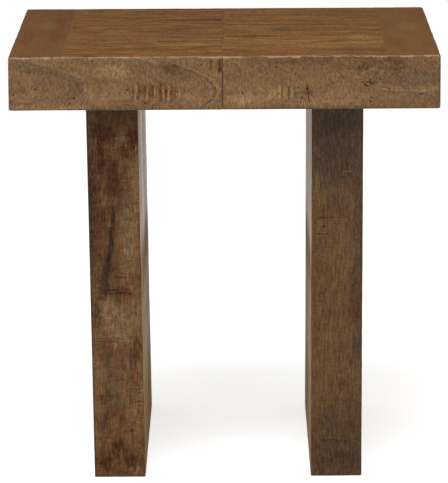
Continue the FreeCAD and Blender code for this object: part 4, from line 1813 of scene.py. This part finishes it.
APRON_MARKS = {
    "apron_front_left": tuple(itertools.chain.from_iterable(arc.parts() for arc in LEFT_ARCS)) + (
        *patches(DARK, (-76, 602, 22, 10, 0.42, -12), (-108, 606, 24, 12, 0.08)),
        *patches(RED, (-287, 552, 17, 5.5, 0.5), (-98, 571, 42, 14, 0.3), (-62, 566, 26, 12, 0.22)),
        *patches(
            PALE, (-155, 600, 34, 14, 0.4), (-170, 556, 40, 14, 0.15), (-40, 560, 36, 12, 0.3),
            (-285, 549, 22, 6, 0.3), (-240, 545.5, 70, 4, 0.45),
        ),
        *patches(
            GREY, (-67, 592, 32, 11, 0.55, -8), (-275, 604, 34, 12, 0.4, -8), (-150, 543, 180, 9, 0.7),
            (-34, 555, 12, 4, 0.4),
        ),
        *streaks(
            DARK, (2.4, 1.6, 0.8, 0.2, (-6, 617), (-5.5, 598)),
            (1, 0.8, 0.6, 0.12, (-34, 565), (-28, 568.5), (-22, 565)),
            (1, 0.8, 0.6, 0.12, (-33, 560.5), (-28, 563.5), (-23, 560.5)),
            (0.9, 0.8, 0.5, 0.12, (-31, 556.5), (-28, 559), (-24, 556)),
        ),
        *streaks(
            RED, (4.6, 3.4, 1, 0.2, (-7, 618), (-6, 594)), (3.4, 2.4, 0.95, 0.2, (-19, 617), (-18, 599)),
            (1.6, 1.3, 0.4, 0.2, (-12.5, 614), (-12, 602)),
        ),
        *streaks(GREY, (4, 4, 0.45, 0.02, (-305, 616), (-305, 546))),
        *pits(
            (-185.6, 613, 1.2), (-266.4, 573.6, 1.2), (-212.4, 560.6, 1.1), (-218.6, 553, 1),
            (-297.8, 565.6, 0.9), (-31.6, 607.6, 1.1), (-111.6, 553, 0.9), (-136.6, 572.4, 1.2),
            (-18.6, 582.4, 1), (-218, 572.8, 0.9, 0.9), (-212, 572, 0.9, 0.9),
        ),
    ) + upright_streaks(PALE, (-125.5, -109, -98, -94.5, -87, -79.5, -64.5), 553, 584, 1.6, 0.75)
    + upright_streaks(RED, (-130, -121, -113, -105, -101.5, -90.5, -83, -75.4, -70.5), 551, 589, 2, 1)
    + upright_streaks(DARK, (-121.4, -113, -104.6, -100.8, -90.5, -83, -75, -57.5), 554, 588, 1.1, 0.55),
    "apron_front_right": (
        *patches(DARK, (240, 606, 24, 14, 0.28), (196, 602, 12, 10, 0.5), (150, 613, 190, 15, 0.28)),
        *patches(
            RED, (243, 606, 20, 14, 0.3), (116, 571, 11, 9, 0.45), (278, 553, 14, 5, 0.25),
            (76, 566, 20, 14, 0.22),
        ),
        *patches(
            PALE, (36, 558, 44, 13, 0.38), (78, 566, 24, 13, 0.42), (130, 552, 60, 8, 0.22),
            (170, 560, 60, 16, 0.2),
        ),
        *patches(
            GREY, (22, 596, 12, 15, 0.45), (232, 588, 40, 9, 0.35), (262, 584, 62, 20, 0.58),
            (150, 543, 180, 9, 0.85),
        ),
        *streaks(
            DARK, (2.2, 2.2, 0.65, 0.12, (192, 609.5), (197, 609), (201, 605), (199, 598)),
            (2, 2.4, 0.9, 0.12, (193, 584), (199, 578), (204, 575.5)),
            (2.2, 2, 0.95, 0.12, (202, 584), (206.5, 579.5), (211, 578)),
            (1.9, 1.7, 0.9, 0.12, (211.5, 584.5), (209.5, 580.5), (206, 577)),
            (2, 1.6, 0.75, 0.12, (204, 562), (210, 559)), (1.4, 1.2, 0.45, 0.12, (232, 573), (234, 566)),
            (1.4, 1.4, 0.6, 0.2, (295, 592), (303, 592)), (2.2, 2, 1, 0.2, (273, 564.6), (283, 565.2)),
        ),
        *streaks(
            PALE, (1.4, 1.2, 0.5, 0.12, (208, 574.5), (236, 569.5), (275, 569.3), (303, 573)),
            (1.2, 1, 0.25, 0.12, (205, 583), (236, 574), (270, 573), (303, 580)),
        ),
        *streaks(GREY, (6, 6, 0.9, 0.02, (305, 616), (305, 546))),
        Check(((116.4, 581), (116.8, 573), (118.4, 562), (120, 550))),
        *pits(
            (116.8, 573.2, 1.9, 1), (72.4, 604, 1.3), (100.6, 595, 1.1), (26, 567, 1.1), (107.6, 553, 1.1),
            (104, 573.6, 1), (109, 560, 0.9), (282, 611, 1.3, 0.8, 0.7), (232, 572, 1, 0.8, 0.7),
            (206, 554, 1.2), (201, 582, 1.2, 0.8), (205, 585, 1, 0.6), (208.5, 580, 1.3, 0.8),
            (212.5, 584, 1, 0.6), (210, 588, 0.9, 0.5, 0.7), (216, 581, 0.9, 0.5, 0.7),
            (193, 590, 0.9, 0.5, 0.7),
        ),
    ) + upright_streaks(PALE, (62, 70, 78, 86.5, 95), 555, 583, 2.2, 0.75)
    + upright_streaks(RED, (58.5, 66.5, 74.5, 99), 555, 581, 1.9, 0.75)
    + upright_streaks(DARK, (81, 91), 554, 583, 1.7, 0.95),
}

# Openness and middle across the grain of the arched figure on the front aprons
APRON_ARCHES = {"apron_front_left": (0.05, 31), "apron_front_right": (0.03, 24)}

APRON_TINTS = {"apron_end_left": {RED: 0.06}, "apron_back_right": {DARK: 0.06}}

# Marks of the leg fronts, from the board's left edge and the floor. The broad patches over each board's head
# are partly stain and partly painted shadow under the top.
LEFT_LEG_MARKS = (
    # the broad patch at (37, 534) over the head is partly stain and partly painted shadow under the top
    *patches(
        DARK, (4, 400, 14, 170, 0.35), (32, 415, 60, 130, 0.22), (0, 246, 20, 34, 0.22),
        (72, 205, 14, 24, 0.18), (22, 119.5, 26, 6, 0.4), (37, 534, 62, 22, 0.45), (67, 500, 11, 18, 0.35),
        (20, 508, 16, 16, 0.35), (66, 473, 8, 8, 0.35), (38, 446, 8, 14, 0.25), (31, 434, 6, 7, 0.35),
        (12, 238, 5, 4.5, 0.75), (8, 252, 11, 20, 0.35), (57.5, 239, 5.5, 6.5, 0.4),
        (67, 188, 10, 24, 0.22), (14, 78, 8, 14, 0.12), (37, 47, 9, 13, 0.42), (52, 22, 11, 15, 0.22),
        (17, 23, 11, 13, 0.22), (34, 26, 46, 30, 0.32),
    ),
    *patches(
        RED, (8, 430, 22, 110, 0.45), (36, 420, 18, 60, 0.4), (14, 462, 12, 22, 0.45),
        (62, 80, 14, 44, 0.12), (66, 497, 14, 26, 0.95), (30, 504, 13, 19, 0.95), (15, 512, 15, 28, 0.85),
        (54, 478, 10, 16, 0.75), (38, 440, 15, 32, 0.7), (11, 410, 10, 44, 0.45), (12, 340, 10, 34, 0.5),
        (22, 372, 6, 16, 0.4), (44, 274.5, 18, 7, 0.65), (60, 300, 9, 20, 0.28), (60, 268, 8, 16, 0.28),
        (67, 186, 13, 30, 0.45), (21, 168, 12, 18, 0.15), (57, 150, 13, 18, 0.35), (52, 92, 11, 30, 0.36),
        (31, 98, 8, 18, 0.32), (37, 44, 13, 18, 0.55), (28, 34, 12, 14, 0.4), (53, 24, 14, 18, 0.5),
        (16, 22, 12, 16, 0.5), (69, 25, 5, 10, 0.35),
    ),
    *patches(
        PALE, (38, 226, 26, 44, 0.55), (64, 250, 14, 50, 0.3), (48, 500, 8, 10, 0.45),
        (50, 491, 9, 5, 0.35), (62, 450, 9, 14, 0.3), (68, 418, 9, 55, 0.5), (56, 372, 20, 58, 0.45),
        (56, 318, 18, 46, 0.38), (30, 410, 18, 10, 0.25), (8.5, 234, 2.5, 2.5, 0.55),
        (26, 248, 15, 14, 0.35), (44, 204, 16, 12, 0.3), (65, 160, 6, 12, 0.4), (10, 160, 14, 26, 0.3),
        (66, 100, 12, 70, 0.3), (69.5, 124, 5, 6, 0.55), (56, 96, 12, 26, 0.3), (22, 50, 9, 7, 0.3),
        (60, 9, 12, 5, 0.35),
    ),
    *patches(
        GREY, (37, 0, 50, 7, 0.55), (23, 158, 14, 30, 0.28), (38, 138, 12, 16, 0.3), (14, 80, 13, 20, 0.45),
    ),
    *streaks(
        DARK, (3, 6, 0.5, 0.12, (18, 492), (22, 470), (21, 452)),
        (1.2, 1, 0.45, 0.12, (19, 420), (18.5, 392), (14, 362)),
        (3, 3, 0.45, 0.12, (4, 470), (4, 400), (4, 330)),
        (2.6, 6.4, 0.97, 0.05, (37, 400), (35.5, 384), (33, 360)),
        (6.6, 6, 0.97, 0.05, (33.5, 368), (31, 338), (28.5, 318), (23.5, 298)),
        (8, 11, 0.62, 0.25, (25, 310), (21.5, 290), (18.5, 274), (16, 258)),
        (1.7, 1.2, 0.65, 0.2, (48, 301), (53, 301)), (2, 2, 0.7, 0.15, (34, 296.5), (45, 296), (54, 295.4)),
        (1.1, 0.9, 0.4, 0.12, (52, 295.6), (74, 295)),
        (2.2, 2.2, 0.7, 0.1, (22, 277.5), (38, 277), (58, 278)),
        (2.4, 2.2, 0.75, 0.1, (18, 271.5), (38, 271.8), (61, 272.2)),
        (1.6, 1.4, 0.5, 0.15, (32, 295.8), (44, 296), (56, 295.6)),
        (2.2, 1.4, 0.75, 0.12, (56.5, 192), (55.5, 176), (55, 160)),
        (1.6, 1.2, 0.35, 0.12, (43, 212), (38, 203), (34, 196)),
        (3.2, 2.2, 0.55, 0.15, (1, 120.5), (20, 120), (40, 120.5)),
        (1.2, 1, 0.55, 0.12, (48, 131), (73, 131)), (1.6, 1.3, 0.6, 0.12, (63, 112), (73, 112)),
        (1.5, 1.2, 0.6, 0.12, (64, 106.5), (71, 106)), (2, 1.6, 0.6, 0.2, (40, 91), (40, 79)),
    ),
    *streaks(
        RED, (6, 9, 0.95, 0.12, (17, 502), (20, 480), (21, 462), (16, 442)),
        (2.6, 1.8, 0.45, 0.3, (36.5, 348), (34, 330)),
    ),
    *streaks(
        PALE, (1.6, 1.4, 0.55, 0.12, (13, 500), (14.5, 486)),
        (1.8, 1.4, 0.55, 0.12, (71, 488), (68, 479), (64, 474)),
    ),
    *streaks(
        GREY, (4, 4, 0.75, 0.01, (0, 540), (0, 0)), (8, 15, 0.78, 0.2, (28, 340), (22, 300), (17, 266)),
    ),
    *pits((50, 139, 1.1), (56, 69, 1.7, 0.8), (46, 301, 1.1, 0.8, 0.7)),
) + tuple(
    Streak(DARK, ((5, z), (28, z + rise), (50, z - 1.5)), (1.1, 1), strength)
    for z, rise, strength in ((231.5, 2.5, 0.5), (228, 2.5, 0.5), (224, 2.5, 0.45), (206, 0.5, 0.5),
                              (201, 0.5, 0.5), (165.5, 0.4, 0.45), (162, 0.4, 0.35))
) + tuple(
    Streak(DARK, ((low, z), (high, z + 0.6)), (1, 0.9), 0.42)
    for z, low, high in ((434, 24, 60), (438, 40, 58), (410, 58, 73), (489, 44, 60),
                         (484.5, 44, 60), (480, 30, 60), (475.5, 44, 60), (471, 26, 58),
                         (466, 26, 50), (89, 4, 30), (81, 4, 28), (71, 4, 26))
)

RIGHT_LEG_MARKS = (
    # the broad patches at (37, 470) and (30, 520) over the head are partly stain and partly painted shadow
    # under the top
    *patches(
        DARK, (37, 470, 60, 60, 0.22), (30, 520, 30, 20, 0.35), (8, 503, 9, 8, 0.4), (63, 284, 6, 18, 0.45),
        (25, 242, 12, 10, 0.3), (50, 30, 22, 16, 0.25),
    ),
    *patches(
        RED, (50, 454, 8, 7, 0.85), (42, 450, 7, 12, 0.4), (65, 432, 7, 16, 0.5), (48, 428, 6, 10, 0.35),
        (66, 390, 8, 36, 0.4), (37, 405, 4, 18, 0.4), (30, 390, 24, 16, 0.25), (54, 368, 12, 18, 0.32),
        (64, 312, 5, 12, 0.55), (67, 238, 5, 18, 0.75), (60, 250, 9, 34, 0.45), (57, 172, 6, 14, 0.5),
        (19, 242, 5, 8, 0.35), (44, 137, 12, 9, 0.45), (55, 108, 9, 20, 0.4), (57, 76, 7, 14, 0.45),
        (10, 21, 4.5, 6, 0.8), (5, 62, 4, 9, 0.5),
    ),
    *patches(PALE, (44, 494.5, 4, 2.5, 0.4), (21, 360.5, 2.4, 1.6, 0.6), (10, 352, 3, 4, 0.35)),
    # the broad patches from about 400 mm up are partly stain and partly painted shadow under the top
    *patches(
        GREY, (37, 0, 50, 6, 0.45), (37, 480, 70, 90, 0.45), (74, 330, 20, 230, 0.45),
        (45, 55, 60, 90, 0.4), (37, 530, 66, 36, 0.7), (30, 490, 60, 40, 0.55), (30, 455, 44, 32, 0.45),
        (46, 405, 10, 14, 0.4), (70, 330, 5, 70, 0.3), (66, 190, 10, 40, 0.65), (20, 165, 6, 7, 0.45),
        (30, 82, 12, 16, 0.55), (37, 26, 60, 42, 0.62),
    ),
    *streaks(
        DARK, (2.2, 1.6, 0.75, 0.2, (44, 440), (52, 440)), (1.7, 1.6, 0.9, 0.08, (9, 381.2), (36, 381.6)),
        (1.2, 1, 0.5, 0.1, (36, 381.6), (56, 381.4)), (1.6, 1.3, 0.85, 0.1, (4, 357.6), (26, 357.8)),
        (1.4, 1.2, 0.5, 0.2, (3, 374), (10, 373.5)), (1.8, 1.4, 0.7, 0.2, (38, 136.5), (50, 136)),
        (1.4, 1.1, 0.45, 0.12, (56, 121), (72, 121)), (1.4, 1.2, 0.45, 0.2, (15, 92), (24, 88)),
        (1.7, 1.3, 0.65, 0.15, (12, 53.5), (36, 53.5), (60, 53)),
        (1.2, 1, 0.35, 0.12, (50, 47.5), (60, 47)), (1.2, 1, 0.35, 0.12, (48, 43.5), (60, 43)),
    ),
    *streaks(
        PALE, (1.6, 1.3, 0.55, 0.2, (43, 448), (56, 447.5)), (1.3, 1.1, 0.35, 0.2, (42, 442), (50, 442)),
        (4, 3, 0.3, 0.12, (8, 446), (8, 420), (12, 396)), (1.2, 1, 0.5, 0.2, (16, 364), (20, 364)),
        (1.8, 1.4, 0.4, 0.12, (45, 349), (42, 336), (40, 326)),
    ),
    *streaks(GREY, (5, 5, 0.6, 0.01, (74, 540), (74, 0))),
    *pits((18, 368, 1.7)),
)

PLANK_TINTS = ({PALE: 0.25}, {PALE: 0.15, RED: 0.1}, {PALE: 0.35}, {PALE: 0.3})

# Painted light on the inner planks: painted shade at the feet, a painted pale sheen on the heads and a grey
# band of painted reflection
PLANK_PAINTED_SHADE_AND_SHEEN = (
    *patches(DARK, (-240, -30, 320, 310, 0.98), (0, -50, 500, 140, 0.35)),
    *patches(PALE, (0, 440, 900, 190, 0.6)),
    *patches(GREY, (0, 286, 900, 45, 0.3, -8)),
)

# Height, reach and strength of the bands where the legs' seal is dull
LEG_SCUFFS = ((0, 240, 0.95), (215, 75, 0.32), (288, 60, 0.58))

# How strong those bands are on the planks, from front to back
PLANK_SCUFFS = (1.15, 1, 0.95, 0.8)


# Studio


@dataclass(frozen=True)
class PhotographCamera:
    """Camera at the photograph's own place and angle.

    Args:
        place: where it stands, in mm.
        yaw: turn about the vertical, in degrees.
        pitch: tilt down, in degrees.
        roll: turn about the line of sight, in degrees.
        focal_pixels: focal length in the photograph's pixels.
        long_side: long side of the photograph, in pixels.
        sensor: long side of the sensor, in mm.
        farthest: how far it sees, in metres.
    """

    place: Triple = (15.78, -5426.36, 1384.37)
    yaw: float = -0.1968
    pitch: float = 11.2645
    roll: float = -0.3650
    focal_pixels: float = 3714.1
    long_side: float = 483.0
    sensor: float = 36.0
    farthest: float = 100.0

    def build(self) -> bpy.types.Object:
        """Makes the camera and gives it to the scene."""
        yaw, pitch, roll = (math.radians(angle) for angle in (self.yaw, self.pitch, self.roll))
        level = Vector((math.cos(yaw), -math.sin(yaw), 0.0))
        ahead = Vector((math.sin(yaw), math.cos(yaw), 0.0))
        forward = ahead * math.cos(pitch) - Vector((0.0, 0.0, math.sin(pitch)))
        upward = ahead * math.sin(pitch) + Vector((0.0, 0.0, math.cos(pitch)))
        right = level * math.cos(roll) + upward * math.sin(roll)
        up = upward * math.cos(roll) - level * math.sin(roll)
        data = bpy.data.cameras.new("photograph_camera")
        data.sensor_fit = "AUTO"
        data.sensor_width = self.sensor
        data.lens = self.focal_pixels / self.long_side * self.sensor
        data.clip_end = self.farthest
        camera = placed("photograph_camera", data)
        turn = Matrix((right, up, -forward)).transposed()
        camera.matrix_world = Matrix.Translation(Vector(self.place) * MM) @ turn.to_4x4()
        bpy.context.scene.camera = camera
        return camera


@dataclass(frozen=True)
class Softbox:
    """Square soft lamp that looks at a point of the table.

    Args:
        name: the lamp's name.
        place: where it hangs, in metres.
        aim: the point that it looks at, in metres.
        size: side of the square, in metres.
        power: output in watts.
    """

    name: str
    place: Triple
    aim: Triple
    size: float
    power: float

    def build(self) -> bpy.types.Object:
        """Makes the lamp."""
        data = bpy.data.lights.new(self.name, "AREA")
        data.shape = "SQUARE"
        data.size = self.size
        data.energy = self.power
        lamp = placed(self.name, data)
        lamp.location = self.place
        lamp.rotation_euler = (Vector(self.aim) - Vector(self.place)).to_track_quat("-Z", "Y").to_euler()
        return lamp


@dataclass(frozen=True)
class Studio:
    """White studio: pale floor, soft lamps and an even white surrounding.

    Args:
        floor_colour: colour of the floor.
        floor_half_size: half of the floor's side, in metres.
        floor_drop: how far the floor lies below the feet, in mm.
        floor_lift: light that the floor gives off, so that it looks white.
        surround_light: strength of the even light from all round.
        lamps: the soft lamps.
    """

    floor_colour: str = "F4F3F1"
    floor_half_size: float = 30.0
    floor_drop: float = 0.2
    floor_lift: float = 0.66
    surround_light: float = 0.35
    lamps: tuple[Softbox, ...] = (
        Softbox("high_softbox", (-0.3, -1.35, 2.75), (0.0, -0.2, 0.4), 1.8, 67.0),
    )

    def build(self) -> None:
        """Makes the floor, the surrounding, the lamps and the camera."""
        self.surround()
        self.floor()
        for lamp in self.lamps:
            lamp.build()
        PhotographCamera().build()
        bpy.context.scene.view_settings.view_transform = "Standard"

    def surround(self) -> None:
        """Even light from all round, which the camera and reflections see as white."""
        world = bpy.data.worlds.new("white_surround")
        bpy.context.scene.world = world
        world.use_nodes = True
        world.node_tree.nodes.clear()
        nodes = Nodes(world.node_tree)
        shown = self.shown_rays(nodes)
        lit = nodes.add("ShaderNodeBackground", {"Color": WHITE, "Strength": self.surround_light})
        white = nodes.add("ShaderNodeBackground", {"Color": WHITE, "Strength": 1.0})
        mix = nodes.add("ShaderNodeMixShader", {0: shown, 1: lit.outputs[0], 2: white.outputs[0]})
        nodes.add("ShaderNodeOutputWorld", {"Surface": mix.outputs[0]})

    def shown_rays(self, nodes: Nodes) -> Socket:
        """One for the rays that show the surrounding: camera, glossy and transmission rays."""
        rays = nodes.add("ShaderNodeLightPath").outputs
        seen = nodes.math("ADD", rays["Is Camera Ray"], rays["Is Glossy Ray"])
        return nodes.math("ADD", seen, rays["Is Transmission Ray"], clamp=True)

    def floor(self) -> None:
        """Pale floor that keeps the table's shadow and can be looked through from below."""
        half = self.floor_half_size
        drop = -self.floor_drop * MM
        mesh = bpy.data.meshes.new("floor")
        corners = [(-half, -half, drop), (half, -half, drop), (half, half, drop), (-half, half, drop)]
        mesh.from_pydata(corners, [], [(0, 1, 2, 3)])
        floor = placed("floor", mesh)
        material, nodes = new_material("matt_white_floor")
        paint = nodes.add("ShaderNodeBsdfDiffuse", {"Color": linear(self.floor_colour)})
        lift = nodes.math("MULTIPLY", self.shown_rays(nodes), self.floor_lift)
        glow = nodes.add("ShaderNodeEmission", {"Color": WHITE, "Strength": lift})
        both = nodes.add("ShaderNodeAddShader", {0: paint.outputs[0], 1: glow.outputs[0]})
        below = nodes.add("ShaderNodeNewGeometry").outputs["Backfacing"]
        clear = nodes.add("ShaderNodeBsdfTransparent")
        mix = nodes.add("ShaderNodeMixShader", {0: below, 1: both.outputs[0], 2: clear.outputs[0]})
        nodes.add("ShaderNodeOutputMaterial", {"Surface": mix.outputs[0]})
        mesh.materials.append(material)


def main() -> None:
    """Builds the table and the studio."""
    logging.basicConfig(level=logging.INFO, format="%(name)s %(message)s")
    steel = ZincSteel().build()
    PlankTop().build()
    SlabLeg("left", LEFT_LEG_MARKS, {RED: 0.08}, 200).build(LEG_FINISH.build())
    SlabLeg("right", RIGHT_LEG_MARKS, {GREY: 0.14}, 300).build(PLAIN_LEG_FINISH.build())
    UnderFrame().dress(steel)
    ScrewHeads().build(steel)
    Studio().build()


if __name__ == "__main__":
    main()
